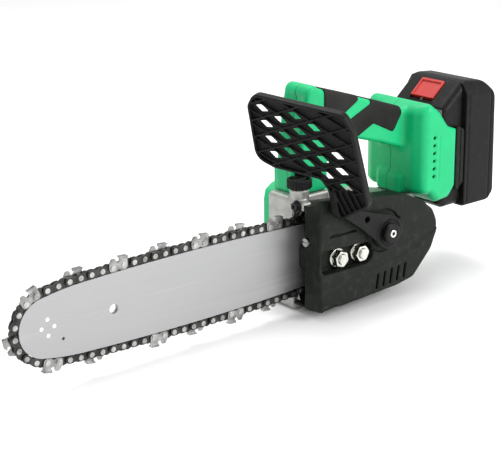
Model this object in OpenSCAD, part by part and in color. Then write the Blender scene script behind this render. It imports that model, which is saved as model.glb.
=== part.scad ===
// Battery chainsaw with a 12 inch bar, built as it comes apart on a bench.
// Frame: +Z up, the bar points to -X, the battery is at +X and the sprocket cover faces -Y.
// The origin lies on the flat underside, in the plane where the two handle shells meet.

/* [Bar and chain] */
// Distance between neighbouring chain rivets
pitch = 9.525; // [9.5:0.005:9.55]
// Number of drive links in the loop
drive_links = 45; // [44:1:46]
// Teeth on the nose sprocket
nose_teeth = 9; // [9:1:10]
// Teeth on the drive sprocket
drive_teeth = 6; // [6:1:7]
// Centre of the nose sprocket along the saw
nose_x = -300; // [-304:1:-296]
// Middle plane of the bar and chain
bar_y = -21; // [-21.2:0.1:-20.8]
// Height of the bar's centre line above the ground
axis_z = 50; // [49:0.5:51]
// Distance from the nose centre to the widest place of the bar
belly_x = 138; // [130:1:145]
// Half height of the rivet line at the widest place
belly_h = 33.7; // [33:0.1:34]
// Radius of the bar's long edges
belly_r = 2480; // [2300:10:2600]
// Thickness of one of the bar's outer sheets
sheet_t = 1.45; // [1.3:0.05:1.45]
// Width of the groove that guides the chain
groove_w = 1.5; // [1.5:0.05:1.6]

/* [Drive] */
// Teeth on the output gear
gear_teeth = 44; // [44]
// Teeth on the motor pinion
pinion_teeth = 10; // [10]
// Distance between the motor shaft and the output shaft
gear_gap = 27.3; // [27.2:0.05:27.4]
// Radius of the output shaft
shaft_r = 5; // [4.8:0.1:5]

/* [Body] */
// Width of the handle across its sides
handle_w = 32; // [30:1:33]
// Width of the rear body and of the battery
body_w = 75; // [74:0.5:76]
// Wall of the plastic shells
wall = 2.5; // [2:0.1:2.8]
// Radius of the bar studs
stud_r = 4; // [3.9:0.05:4]

/* [Hand guard] */
// Tilt of the guard's plate, top towards the bar
guard_tilt = 13.6; // [12:0.2:15]
// Sweep of the guard's near side towards the handle
guard_sweep = 14; // [12:1:16]
// Thickness of the guard's plate
guard_t = 7; // [5:0.5:8]

/* [Hidden] */
$fn = 48;
eps = 0.02;
chain_phase = -0.81;
nose_step = 180 / nose_teeth;
drive_step = 180 / drive_teeth;
nose_r = pitch / (2 * sin(nose_step / 2));
drive_r = pitch / (2 * sin(drive_step / 2));
nose_blend = 12;
tail_x = 275;
rail_drop = 3.6;
belly_z = belly_h - belly_r;
blend_gain = belly_gap_term()
    / (2 * (belly_r - nose_r - sin(nose_blend) * belly_x + cos(nose_blend) * belly_z));
blend_r = nose_r + blend_gain;
blend_c = [blend_gain * sin(nose_blend), -blend_gain * cos(nose_blend)];
belly_in = atan((belly_x - blend_c[0]) / (blend_c[1] - belly_z));
belly_out = asin((tail_x - belly_x) / belly_r);
tail_h = belly_z + belly_r * cos(belly_out);
n_nose = (90 - nose_blend) / nose_step;
n_blend = (nose_blend - belly_in) * PI / 180 * blend_r / pitch;
n_belly = (belly_in + belly_out) * PI / 180 * belly_r / pitch;
drive_s = solve_drive(60, 110, 30);
drive_x = nose_x + drive_s;
motor_x = drive_x - gear_gap;
stud_x = [-35, -11.5];
tension_z = 17;
tension_x = -29;
tension_y = -37;
pivot = [11, 66];
mid_y = body_w / 2;
cap_at = [-52, -17];
cell_r = 9;
slope = 40.6;
latch_mid = [116.3, 165];

// ---- Shapes that several pieces share ----

function unit(v) = v / norm(v);
// Points of a round corner at b, between a and c
function round_corner(a, b, c, r, n) =
    let (u = unit(a - b), v = unit(c - b), half = acos(u * v) / 2,
         mid = b + unit(u + v) * r / sin(half), reach = r / tan(half),
         p = b + u * reach - mid, q = b + v * reach - mid,
         a0 = atan2(p[1], p[0]), turn = atan2(q[1], q[0]) - a0,
         sweep = turn > 180 ? turn - 360 : turn < -180 ? turn + 360 : turn)
    [for (i = [0:n]) mid + r * [cos(a0 + sweep * i / n), sin(a0 + sweep * i / n)]];
// Outline from [x, y, corner radius] entries
function soft(p, n = 4) =
    [for (i = [0:len(p) - 1])
        let (a = p[(i + len(p) - 1) % len(p)], b = p[i], c = p[(i + 1) % len(p)])
        each b[2] > 0
            ? round_corner([a[0], a[1]], [b[0], b[1]], [c[0], c[1]], b[2], n)
            : [[b[0], b[1]]]];
// The same entries with every side moved inwards by d; the corners run anticlockwise
function inset(p, d) =
    [for (i = [0:len(p) - 1])
        let (a = p[(i + len(p) - 1) % len(p)], b = p[i], c = p[(i + 1) % len(p)],
             u = unit([b[0] - a[0], b[1] - a[1]]), v = unit([c[0] - b[0], c[1] - b[1]]),
             m = [-u[1] - v[1], u[0] + v[0]] / (1 + u * v))
        [b[0] + d * m[0], b[1] + d * m[1], max(b[2] - d, 0)]];

// A flat outline in the X-Z plane, thick from y0 to y1
module slab(y0, y1) {
    translate([0, y1, 0]) rotate([90, 0, 0]) linear_extrude(y1 - y0) children();
}
// A rod along Y
module rod(x, z, r, y0, y1) {
    translate([x, y1, z]) rotate([90, 0, 0]) cylinder(r = r, h = y1 - y0);
}
// A box from its lowest and highest corners
module block(a, b) {
    translate(a) cube(b - a);
}
module ring2d(r_out, r_in) {
    difference() { circle(r_out); circle(r_in); }
}
// A toothed wheel: tooth half widths are given as parts of one tooth's angle
module wheel2d(teeth, tip, root, base_part, tip_part, start = 0) {
    step = 360 / teeth;
    polygon([for (i = [0:teeth - 1], j = [0:3])
        let (part = [-base_part, -tip_part, tip_part, base_part][j],
             r = [root, tip, tip, root][j], a = start + step * (i + part))
        r * [cos(a), sin(a)]]);
}
// A closed coil spring along Z
module coil(r, wire, h, turns) {
    for (i = [0:turns - 1])
        translate([0, 0, wire + i * (h - 2 * wire) / (turns - 1)])
            rotate_extrude($fn = 32) translate([r, 0]) circle(wire, $fn = 16);
}

// ---- Chain loop ----

function belly_gap_term() = pow(belly_r - nose_r, 2) - pow(belly_x, 2) - pow(belly_h - belly_r, 2);
// Straight run from the bar's tail to a drive sprocket at distance s from the nose
function run_len(s) = let (dx = s - tail_x) sqrt(dx * dx + tail_h * tail_h - drive_r * drive_r);
function run_fall(s) =
    let (dx = s - tail_x) atan(tail_h / dx) - asin(drive_r / sqrt(dx * dx + tail_h * tail_h));
function half_loop(s) =
    n_nose + n_blend + n_belly + run_len(s) / pitch + (90 - run_fall(s)) / drive_step;
function solve_drive(lo, hi, k) =
    let (mid = (lo + hi) / 2, s = tail_x + mid)
    k == 0 ? s : half_loop(s) > drive_links ? solve_drive(lo, mid, k - 1) : solve_drive(mid, hi, k - 1);
function on_arc(c, r, a) = [c[0] + r * cos(a), c[1] + r * sin(a), a];
// Place on the upper half of the loop, u pitches from the tip of the nose: [x, z, angle outwards]
function upper(u) =
    let (u2 = u - n_nose, u3 = u2 - n_blend, u4 = u3 - n_belly,
         run = run_len(drive_s) / pitch, fall = run_fall(drive_s), u5 = u4 - run)
    u2 < 0 ? on_arc([0, 0], nose_r, 180 - u * nose_step)
    : u3 < 0 ? on_arc(blend_c, blend_r, 90 + nose_blend - u2 * pitch / blend_r * 180 / PI)
    : u4 < 0 ? on_arc([belly_x, belly_z], belly_r, 90 + belly_in - u3 * pitch / belly_r * 180 / PI)
    : u5 < 0 ? [tail_x + u4 * pitch * cos(fall), tail_h - u4 * pitch * sin(fall), 90 - fall]
    : on_arc([drive_s, 0], drive_r, 90 - fall - u5 * drive_step);
function wrap(u) = u > drive_links ? u - 2 * drive_links : u < -drive_links ? u + 2 * drive_links : u;
function on_loop(u) =
    let (w = wrap(u), p = upper(abs(w))) w < 0 ? [p[0], -p[1]] : [p[0], p[1]];
// Puts children at the link whose middle is u pitches along the loop
module at_link(u) {
    a = on_loop(u - 0.5);
    b = on_loop(u + 0.5);
    turn = atan2(b[1] - a[1], b[0] - a[0]);
    translate([nose_x + (a[0] + b[0]) / 2, bar_y, axis_z + (a[1] + b[1]) / 2])
        rotate([0, -turn, 0]) children();
}
// Outline of the bar, held in from the rivet line
function rail_side(drop) =
    [for (u = concat([for (i = [0:16]) n_nose * i / 16], [for (i = [1:4]) n_nose + n_blend * i / 4],
                     [for (i = [1:12]) n_nose + n_blend + n_belly * i / 12.001]))
        let (p = upper(u)) [p[0] - drop * cos(p[2]), p[1] - drop * sin(p[2])]];
function rail(drop) =
    let (s = rail_side(drop), tail = [[309, 25.1 - drop], [316, 17 - drop * 0.4], [318, 10]],
         side = concat(s, tail), n = len(side))
    concat(side, [for (i = [n - 1:-1:1]) [side[i][0], -side[i][1]]]);

module at_bar() {
    translate([nose_x, bar_y, axis_z]) children();
}
module bar_slots() {
    slot = soft([[252, -4.3, 4], [303, -4.3, 4], [303, 4.3, 4], [252, 4.3, 4]]);
    polygon(slot);
    translate([57.5, 0]) circle(4);
    for (k = [-1, 1]) {
        translate([tension_x - nose_x, k * tension_z]) circle(3.2);
        translate([312, k * 9]) circle(1.6);
    }
}
module nose_rivet_holes(r) {
    for (p = [[5.4, 0], [-5.4, 0], [0, 6.4], [0, -6.4]]) translate(p) circle(r, $fn = 24);
}
module outer_sheet() {
    difference() {
        polygon(rail(rail_drop));
        bar_slots();
        nose_rivet_holes(1.6);
        translate([12.5, -12]) circle(1.3, $fn = 24);
    }
}
module bar_near_sheet() {
    color("gainsboro") at_bar() slab(-groove_w / 2 - sheet_t, -groove_w / 2) outer_sheet();
}
module bar_far_sheet() {
    color("gainsboro") at_bar() slab(groove_w / 2, groove_w / 2 + sheet_t) outer_sheet();
}
module bar_core() {
    color("darkgray") at_bar() slab(-groove_w / 2, groove_w / 2) difference() {
        polygon(rail(rail_drop + 6.6));
        bar_slots();
        circle(19.2);
    }
}
module nose_sprocket() {
    color("dimgray") at_bar() slab(-0.65, 0.65) difference() {
        wheel2d(nose_teeth, 17.9, 14.4, 0.34, 0.14, 180);
        circle(10.05);
    }
}
module nose_hub() {
    color("gray") at_bar() slab(-groove_w / 2, groove_w / 2) difference() {
        circle(10);
        nose_rivet_holes(1.6);
    }
}
module nose_rivets() {
    color("silver") at_bar() slab(-groove_w / 2 - sheet_t - 0.2, groove_w / 2 + sheet_t + 0.2)
        nose_rivet_holes(1.58);
}

plate_in = 0.78;
plate_out = 2.18;
module link_holes(r) {
    for (k = [-1, 1]) translate([k * pitch / 2, 0]) circle(r, $fn = 24);
}
// Side plate: a waisted strap with round ends
module strap2d() {
    difference() {
        polygon(soft([[-8, -3.1, 2.4], [-2.6, -3.1, 1], [0, -1.9, 2], [2.6, -3.1, 1], [8, -3.1, 2.4],
                      [8, 3.1, 2.8], [2.4, 3.1, 1.5], [0, 2.3, 2], [-2.4, 3.1, 1.5], [-8, 3.1, 2.8]], 3));
        link_holes(1.56);
    }
}
module drive_link2d() {
    difference() {
        polygon(soft([[-7.9, -2.9, 2], [-4.4, -3.2, 0.5], [-3.6, -8.4, 0.8], [-1, -7.2, 0.5],
                      [2.6, -3.4, 0.5], [7.9, -2.9, 2], [7.9, 2.6, 2.2], [3.4, 2.8, 1],
                      [0, 4.4, 2], [-3.4, 2.8, 1], [-7.9, 2.6, 2.2]], 3));
        link_holes(1.56);
    }
}
module cutter2d() {
    difference() {
        polygon(soft([[-8, -3.1, 2.4], [-2.6, -3.1, 1], [0, -1.9, 2], [2.6, -3.1, 1], [8, -3.1, 2.4],
                      [8.2, 3, 1], [8.2, 7.4, 0.6], [0.6, 8, 0.4], [1.6, 4.6, 1], [-1, 2.6, 1.2],
                      [-2.6, 6.9, 0.6], [-5.6, 7.2, 1.6], [-8.2, 2.6, 1.4]], 3));
        link_holes(1.56);
    }
}
// One left-hand cutter, with its top plate leaning over the drive links
module cutter() {
    slab(-plate_out, -plate_in) cutter2d();
    slab(-plate_in, 0.9) polygon([[0.9, 6.9], [8.2, 6.3], [8.2, 7.4], [0.6, 8]]);
    slab(-3.1, -plate_out) polygon([[0.9, 5.6], [8.2, 5.2], [8.2, 7.4], [0.6, 8]]);
}
cutters = floor((drive_links - 1) / 2);
function has_cutter(slot, far) = slot < 2 * cutters && slot % 2 == 0 && (slot / 2) % 2 == (far ? 0 : 1);
module chain_drive_links() {
    color("dimgray") difference() {
        for (k = [0:drive_links - 1]) at_link(chain_phase - 7 + 2 * k - 2 * (k > 26 ? drive_links : 0))
            slab(-0.65, 0.65) drive_link2d();
        rod(drive_x, axis_z, 14.4, bar_y - 2, bar_y + 2);
    }
}
module each_slot() {
    for (slot = [0:drive_links - 1]) {
        $slot = slot;
        at_link(chain_phase - 8 + 2 * slot - 2 * (slot > 26 ? drive_links : 0)) children();
    }
}
module chain_cutters() {
    color("silver") each_slot() {
        if (has_cutter($slot, false)) cutter();
        if (has_cutter($slot, true)) mirror([0, 1, 0]) cutter();
    }
}
module chain_tie_straps() {
    color("dimgray") each_slot() {
        if (!has_cutter($slot, false)) slab(-plate_out, -plate_in) strap2d();
        if (!has_cutter($slot, true)) slab(plate_in, plate_out) strap2d();
    }
}
module chain_rivets() {
    color("silver") each_slot() for (k = [-1, 1]) {
        rod(k * pitch / 2, 0, 1.5, -2.2, 2.2);
        for (y = [-2.75, 2.2]) rod(k * pitch / 2, 0, 2.1, y, y + 0.55);
    }
}

// ---- Drive train ----

module drive_sprocket() {
    color("slategray") translate([drive_x, 0, axis_z]) slab(-25, -18.8) difference() {
        wheel2d(drive_teeth, 13.6, 10, 0.34, 0.2);
        circle(shaft_r + eps);
    }
}
module sprocket_clip() {
    color("silver") {
        translate([drive_x, 0, axis_z]) slab(-26.3, -25.1) ring2d(10, shaft_r + eps);
        translate([drive_x, 0, axis_z]) slab(-27.6, -26.4) difference() {
            ring2d(7.6, 4.2 + eps);
            translate([0, -3]) square([9, 6]);
        }
    }
}
module output_shaft() {
    color("lightsteelblue") difference() {
        union() {
            rod(drive_x, axis_z, shaft_r, -31, 14.6);
            rod(drive_x, axis_z, 4, 14.6, 20);
            rod(drive_x, axis_z, 7, -9.6, -6.1);
        }
        translate([drive_x, 0, axis_z]) slab(-27.7, -26.3) ring2d(9, 4.2);
    }
}
module output_gear() {
    color("darkgray") translate([drive_x, 0, axis_z]) slab(-6, 2) difference() {
        wheel2d(gear_teeth, 22.8, 20.7, 0.26, 0.11);
        circle(shaft_r + eps);
        for (a = [0:60:300]) rotate(a + 30) translate([13, 0]) circle(3.6);
    }
}
module bearing(x, z, r_out, r_in, y0, y1) {
    translate([x, 0, z]) slab(y0, y1) ring2d(r_out, (r_out + r_in) / 2 + 1);
    translate([x, 0, z]) slab(y0, y1) ring2d((r_out + r_in) / 2 - 1, r_in);
    translate([x, 0, z]) slab(y0 + 1.2, y1 - 1.2) ring2d((r_out + r_in) / 2 + 1, (r_out + r_in) / 2 - 1);
}
module output_bearings() {
    color("silver") {
        bearing(drive_x, axis_z, 11, shaft_r + 0.03, -16, -10);
        bearing(drive_x, axis_z, 8, 4.03, 15.2, 20);
    }
}
module rotor() {
    color("slategray") {
        rod(motor_x, axis_z, 3.4, -6.4, 15);
        translate([motor_x, 0, axis_z]) slab(-6, 2) wheel2d(pinion_teeth, 5.6, 3.6, 0.25, 0.1, 18);
        rod(motor_x, axis_z, 4, 14.9, 50.4);
        rod(motor_x, axis_z, 13, 22.5, 41.5);
    }
}
module motor_fan() {
    color("black") translate([motor_x, 0, axis_z]) {
        slab(42.3, 43.6) ring2d(21, 4 + eps);
        slab(43.5, 47) for (a = [0:24:336]) rotate(a) translate([8, -0.6]) square([13, 1.2]);
        slab(43.5, 47) ring2d(6.5, 4 + eps);
    }
}
module stator() {
    color("peru") translate([motor_x, 0, axis_z]) slab(23, 41) difference() {
        circle(23);
        circle(13.5);
        for (a = [0:60:300]) rotate(a) translate([17.6, 0]) square([5, 5.4], center = true);
    }
}
module motor_bearings() {
    color("silver") {
        bearing(motor_x, axis_z, 8, 4.03, 15.2, 20);
        bearing(motor_x, axis_z, 8, 4.03, 47.4, 50.4);
    }
}

// ---- Case, cover and body ----

case_far = 15;
case_near = -17.6;
case_outline = soft([[-60, 0, 6], [62, 0, 10], [86, 16, 12], [94, 40, 10], [92, 60, 8], [84, 79.3, 4],
                     [66, 79.3, 2], [36, 86.5, 6], [-18, 87, 2], [-19, 100, 2], [-60, 100, 4]]);
pump_room = soft([[-55, 5, 2], [20, 5, 2], [20, 20, 6], [8, 36, 6], [-55, 36, 2]]);
oil_room = [[-56, 63, 3], [-23, 63, 3], [-23, 96, 3], [-56, 96, 3]];
module gear_case() {
    color("silver") difference() {
        union() {
            slab(case_near, case_far) polygon(case_outline);
            translate([cap_at[0], cap_at[1], 99]) cylinder(r = 8.2, h = 8.4);
        }
        // gear room, open to the far side
        rod(drive_x, axis_z, 24.5, -9.8, case_far + 1);
        rod(motor_x, axis_z, 9, -9.8, case_far + 1);
        rod(drive_x, axis_z, 11 + eps, -16, -9);
        rod(drive_x, axis_z, 7, case_near - 1, -15);
        // pump room under the studs, open to the far side
        slab(-13, case_far + 1) polygon(pump_room);
        // oil room
        slab(-13, 10) polygon(soft(oil_room));
        translate([cap_at[0], cap_at[1], 90]) cylinder(r = 5.6, h = 20);
        for (x = stud_x) rod(x, axis_z, stud_r + eps, case_near - 1, 8);
        for (p = cover_screws) rod(p[0], p[1], 1.6, 6, case_far + 1);
    }
}
cover_screws = [[0, 44], [10, 70], [84, 56], [79, 28], [40, 8]];
cover_far = 21.6;
cover_plate = soft([[-6, 24, 6], [28, 4, 6], [64, 4, 8], [83, 22, 10], [88, 40, 10], [88, 58, 4],
                    [59.5, 74.8, 6], [-6, 74.8, 8]]);
module gear_cover() {
    color("darkgray") difference() {
        slab(case_far, cover_far) polygon(cover_plate);
        for (x = [drive_x, motor_x]) rod(x, axis_z, 8 + eps, 14, 20.1);
        rod(motor_x, axis_z, 4.6, 14, cover_far + 1);
        for (p = cover_screws) rod(p[0], p[1], 1.8, 14, cover_far + 1);
    }
}
module case_screws() {
    color("silver") for (p = cover_screws) {
        rod(p[0], p[1], 1.55, 9, cover_far + 0.1);
        rod(p[0], p[1], 3, cover_far + 0.1, cover_far + 2.4);
    }
}
housing_far = 52;
housing_side = soft([[-57.5, 0, 4], [70, 0, 12], [94, 24, 14], [95, 60, 8], [62, 79, 8],
                     [-16, 79, 6], [-19, 98, 4], [-52, 98, 4], [-57.5, 90, 4]]);
housing_room = soft([[-54.5, 3, 2], [69, 3, 10], [91, 25, 12], [92, 58.2, 5], [61.2, 76, 6],
                     [-19, 76, 4], [-22, 95, 2], [-51, 95, 3], [-54.5, 90, 3]]);
housing_plan = soft([[-57.5, 15, 0], [96, 15, 0], [96, 27, 5], [74, 31, 8], [60, 44, 10], [50, 52, 10],
                     [-8, 52, 12], [-36, 41, 12], [-57.5, 25, 6]]);
room_plan = soft([[-54.5, 14, 0], [93, 14, 0], [93, 24.6, 3], [72.6, 28.2, 6], [57.8, 42, 8], [48.8, 49, 8],
                  [-8, 49, 10], [-34, 38, 10], [-54.5, 23.4, 3]]);
module motor_housing() {
    color("mediumseagreen") difference() {
        union() {
            difference() {
                intersection() {
                    slab(case_far, housing_far) polygon(housing_side);
                    linear_extrude(100) polygon(housing_plan);
                }
                intersection() {
                    slab(case_far - 1, housing_far) polygon(housing_room);
                    translate([0, 0, 1]) linear_extrude(100) polygon(room_plan);
                }
            }
            rod(motor_x, axis_z, 10.5, 47.2, 50);
        }
        rod(motor_x, axis_z, 8 + eps, 47, 50.5);
        for (k = [-3:3]) translate([motor_x + 5 * k - 1, 48, axis_z - 34]) cube([2, 6, 16]);
    }
}
module oil_tank() {
    color("ivory") difference() {
        slab(-12.8, 9.8) polygon(soft(inset(oil_room, 0.2)));
        slab(-11.4, 8.4) polygon(soft(inset(oil_room, 1.6)));
        translate([cap_at[0], cap_at[1], 90]) cylinder(r = 5.6, h = 20);
    }
}
module oil_pump() {
    color("goldenrod") {
        translate([-8, -6, 12]) rotate([0, 90, 0]) cylinder(r = 5, h = 22);
        translate([-14, -6, 12]) rotate([0, 90, 0]) cylinder(r = 1.6, h = 6);
        block([-4, -9, 5.1], [10, -3, 8]);
    }
}
module oil_cap_seal() {
    color("black") translate([cap_at[0], cap_at[1], 107.45]) difference() {
        cylinder(r = 8, h = 1.2);
        translate([0, 0, -1]) cylinder(r = 5.5, h = 4);
    }
}
module oil_cap() {
    color("black") translate([cap_at[0], cap_at[1], 0]) {
        difference() {
            translate([0, 0, 108.7]) cylinder(r = 10, h = 7.5);
            for (a = [0:20:340]) rotate(a) translate([10.4, 0, 108]) cylinder(r = 0.9, h = 10, $fn = 16);
        }
        translate([0, 0, 99]) cylinder(r = 5.3, h = 9.8);
    }
}
cover_near = -53.7;
cover_face = [[-61.5, 8, 2], [-42, 8.6, 8], [48, 10, 8], [72, 20, 12], [89, 36, 14], [92, 60, 12],
              [80, 75, 12], [38, 90, 16], [-61.5, 107, 4]];
cover_back = [[-61.5, 6, 2], [-42, 7, 8], [48, 9, 8], [72, 18, 12], [89, 36, 14], [92, 60, 12],
              [80, 75, 12], [52, 86.5, 14], [-61.5, 97, 3]];
cover_plan = [[-61.5, cover_near, 2], [77, cover_near, 5], [92, -33, 8], [92, -10, 0], [-61.5, -10, 0]];
cover_wall = 2.4;
// The cover's solid outer form, or with d its hollow
module cover_bulk(d) {
    intersection() {
        union() {
            slab(cover_near - 1, -36) polygon(soft(inset(cover_face, d)));
            slab(-36.1, case_near - 0.2 + d) polygon(soft(inset(cover_back, d)));
        }
        linear_extrude(120) polygon(soft(inset(cover_plan, d)));
    }
}
// Recess that the two nuts sit in
nut_room = soft([[-59, 40.5, 5], [-1, 40.5, 9], [-1, 59.5, 9], [-59, 62, 5]]);
module sprocket_cover() {
    color("darkslategray") difference() {
        union() {
            difference() {
                cover_bulk(0);
                cover_bulk(cover_wall);
                block([-70, -34, -1], [-59, -10, 98]);
                slab(-60, -46) polygon(nut_room);
                translate([-64, tension_y, axis_z + tension_z]) rotate([0, 90, 0]) cylinder(r = 4, h = 6);
            }
            // pad between the nuts and the bar
            slab(-43.7, -23.35) polygon(soft([[-58, 39, 4], [2, 39, 9], [2, 61, 9], [-58, 61, 4]]));
            difference() {
                slab(-52, -43.7) polygon(soft([[-61, 38, 5], [1, 38, 9], [1, 62, 9], [-61, 64, 5]]));
                slab(-60, -43) polygon(nut_room);
            }
            rod(pivot[0], pivot[1], 7, -61.2, -52);
        }
        for (x = stud_x) rod(x, axis_z, stud_r + 0.4, -60, -20);
        rod(pivot[0], pivot[1], 2.2, -62, -50);
        for (k = [0:4]) translate([3 + 7.6 * k, -60, 16 + 0.6 * k])
            rotate([0, 22, 0]) cube([1.6, 12, 13]);
    }
}
module bar_studs() {
    color("silver") for (x = stud_x) rod(x, axis_z, stud_r, -54.2, 7.5);
}
module bar_nuts() {
    color("gainsboro") for (x = stud_x) difference() {
        union() {
            rod(x, axis_z, 8.7, -45.6, -43.75);
            translate([x, 0, axis_z]) slab(-52.4, -45.5) rotate(12) circle(7.5, $fn = 6);
        }
        rod(x, axis_z, stud_r + eps, -60, -40);
    }
}
module tensioner_screw() {
    color("silver") translate([0, tension_y, axis_z + tension_z]) {
        translate([-63, 0, 0]) rotate([0, 90, 0]) difference() {
            cylinder(r = 3.6, h = 4);
            translate([-0.6, -4, -1]) cube([1.2, 8, 2.4]);
        }
        translate([-59.2, 0, 0]) rotate([0, 90, 0]) cylinder(r = 2, h = 44);
    }
}
module tensioner_block() {
    color("dimgray") difference() {
        union() {
            translate([tension_x, tension_y, axis_z + tension_z]) cube([10, 8, 9], center = true);
            rod(tension_x, axis_z + tension_z, 3, tension_y + 3.8, bar_y + 1.8);
        }
        translate([tension_x - 6, tension_y, axis_z + tension_z])
            rotate([0, 90, 0]) cylinder(r = 2.05, h = 12);
    }
}

// ---- Hand guard ----

plate_at = [-60.1, -21, 110];
// Puts children on the guard's plate: X across to the near side, Y up the plate, Z out to the front
module on_plate() {
    translate(plate_at) rotate([90 + guard_tilt, 0, guard_sweep - 90]) children();
}
guard_outline = soft([[-34, 24, 12], [-16, 17.5, 6], [30, 14.5, 5], [36.6, 4, 3], [36.5, -19, 3],
                      [46, -19.5, 4], [73.5, -3, 6], [67, 63, 8], [60, 76.5, 9], [-26, 83.5, 10],
                      [-34, 72, 8]]);
// First and last window of each column, counted down from the first column's top window
window_rows = [[0, 3], [1, 3], [1, 4], [2, 5], [4, 6]];
first_window = [-21.5, 69.9];
next_column = [15, 5.65];
next_row = [2.2, -13.8];
module guard_windows() {
    for (c = [0:len(window_rows) - 1], r = [window_rows[c][0]:window_rows[c][1]])
        translate(first_window + c * next_column + r * next_row)
            polygon([[-6.6, 2.2], [1, 3.5], [6.6, -2.2], [-1, -3.5]]);
}
arm_outline = soft([[-54, 97, 3], [-43, 91, 3], [-20, 75, 8], [-2, 60, 8], [10, 52, 8], [24, 62, 8],
                    [18, 80, 8], [-6, 86.5, 10], [-39, 97, 6], [-50, 103, 3]]);
arm_holes = [[-33.6, 92.4], [-14.3, 82.3]];
module hand_guard() {
    color("darkslategray") difference() {
        union() {
            on_plate() translate([0, 0, -guard_t / 2]) linear_extrude(guard_t) difference() {
                polygon(guard_outline);
                guard_windows();
            }
            on_plate() translate([36.6, -17, -guard_t / 2]) cube([7, 23, guard_t + 9]);
            slab(-60.2, -54.4) polygon(arm_outline);
            rod(pivot[0], pivot[1], 15, -61.2, -54);
        }
        rod(pivot[0], pivot[1], 7.05, -62, -53);
        for (p = arm_holes) rod(p[0], p[1], 2.8, -62, -53);
    }
}
module guard_screw() {
    color("dimgray") {
        rod(pivot[0], pivot[1], 2.15, -61.3, -54.5);
        difference() {
            rod(pivot[0], pivot[1], 9, -66, -61.3);
            translate([pivot[0], 0, pivot[1]]) slab(-67, -64) circle(3, $fn = 6);
        }
    }
}

// ---- Handle and rear body ----

handle_side = soft([[-51, 100.1, 0], [-50, 132, 0], [-45.5, 164, 0], [-40.5, 191, 7], [-33, 191.5, 4],
                    [-28, 188, 8], [17, 174.5, 10],
                    [82, 153, 6], [82, 117, 6], [47, 129, 8], [20, 137, 8], [-8, 145, 6], [-17, 140, 6],
                    [-19, 100.1, 0]]);
handle_room = soft([[-47.5, 104, 2], [-46.8, 132, 0], [-42.4, 164, 0], [-38, 187, 4], [17, 171.5, 4],
                    [80, 150, 4], [80, 121, 4], [20, 140, 4], [-8, 148, 4], [-20, 142, 4], [-22, 104, 2]]);
rear_side = soft([[71, 79.6, 0], [86, 79.6, 3], [98, 70, 4], [119, 73, 8], [127, 84, 6], [127, 133, 4],
                  [118, 138, 8], [104, 158, 10], [82, 167, 6], [71, 150, 4]]);
rear_room = soft([[74, 83, 2], [88, 83, 2], [99.5, 75, 2], [99.5, 157, 2], [84, 163, 4], [74, 149, 3]]);
rear_plan = soft([[71, -30, 0], [75, -37.5, 5], [127, -37.5, 0], [127, 37.5, 0], [75, 37.5, 5], [71, 30, 0]]);
// The step at the foot of the rear body's front face
foot_side = soft([[66.3, 79.6, 0], [75, 79.6, 0], [75, 98, 0], [66.3, 98, 5]]);
foot_half = 16;
rear_room_plan = soft([[74, -28, 2], [79, wall - mid_y, 3], [105, wall - mid_y, 0],
                       [105, mid_y - wall, 0], [79, mid_y - wall, 3], [74, 28, 2]]);
handle_plan = soft([[-56, -14, 9], [-40, -16, 4], [90, -16, 0], [90, 16, 0], [-40, 16, 4], [-56, 14, 9]]);
trigger_pin_at = [15, 144];
lock_at = [-12, 158];
trigger_spring_at = [7, 149.1];
module body_bulk() {
    intersection() {
        slab(-handle_w / 2, handle_w / 2) polygon(handle_side);
        linear_extrude(220) polygon(handle_plan);
    }
    slab(case_far + 0.1, 20) polygon(soft([[-50, 98.1, 2], [-19, 98.1, 2], [-18, 126, 8], [-48, 126, 8]]));
    slab(-foot_half, foot_half) polygon(foot_side);
    intersection() {
        slab(-mid_y, mid_y) polygon(rear_side);
        linear_extrude(220) polygon(rear_plan);
    }
}
module body_room() {
    slab(-handle_w / 2 + wall, handle_w / 2 - wall) polygon(handle_room);
    intersection() {
        slab(-mid_y, mid_y) polygon(rear_room);
        linear_extrude(220) polygon(rear_room_plan);
    }
    block([99, -mid_y + 3, 60], [130, mid_y - 3, 180]);
    block([-13, -6.5, 125], [19, 6.5, 153]);
    translate([cap_at[0], cap_at[1], 90]) cylinder(r = 11.4, h = 34.5);
    for (z = [96:7.1:132]) translate([88, 0, z]) cube([3.2, 90, 2.2], center = true);
}
// Places of the shell screws, and half the width inside the shells there
shell_screw_at = [[-34, 134, 13.5], [-33, 181, 13.5], [16, 161, 13.5], [90, 89, 35], [86, 155, 35]];
module posts() {
    for (p = shell_screw_at) rod(p[0], p[1], 4.4, -p[2], p[2]);
    rod(lock_at[0], lock_at[1], 3.6, 0.5, 13.5);
    block([trigger_spring_at[0] - 3, -13.5, 158.2], [trigger_spring_at[0] + 3, 13.5, 160]);
}
module fixing_holes() {
    for (p = shell_screw_at) {
        rod(p[0], p[1], 1.52, -10, 9);
        rod(p[0], p[1], 3.1, 8, mid_y + 1);
    }
    rod(trigger_pin_at[0], trigger_pin_at[1], 1.52, -15, 15);
    rod(lock_at[0], lock_at[1], 4.3, -20, -13);
}
module shells() {
    difference() {
        union() {
            difference() {
                body_bulk();
                body_room();
            }
            posts();
        }
        fixing_holes();
    }
}
module near_shell() {
    color("mediumseagreen") difference() {
        shells();
        block([-80, 0, 60], [140, 60, 200]);
    }
}
module far_shell() {
    color("mediumseagreen") difference() {
        shells();
        block([-80, -60, 60], [140, 0, 200]);
    }
}
module shell_screws() {
    color("silver") for (p = shell_screw_at) {
        rod(p[0], p[1], 1.5, -9.5, 8.1);
        rod(p[0], p[1], 2.9, 8.1, 10.2);
    }
}
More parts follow.
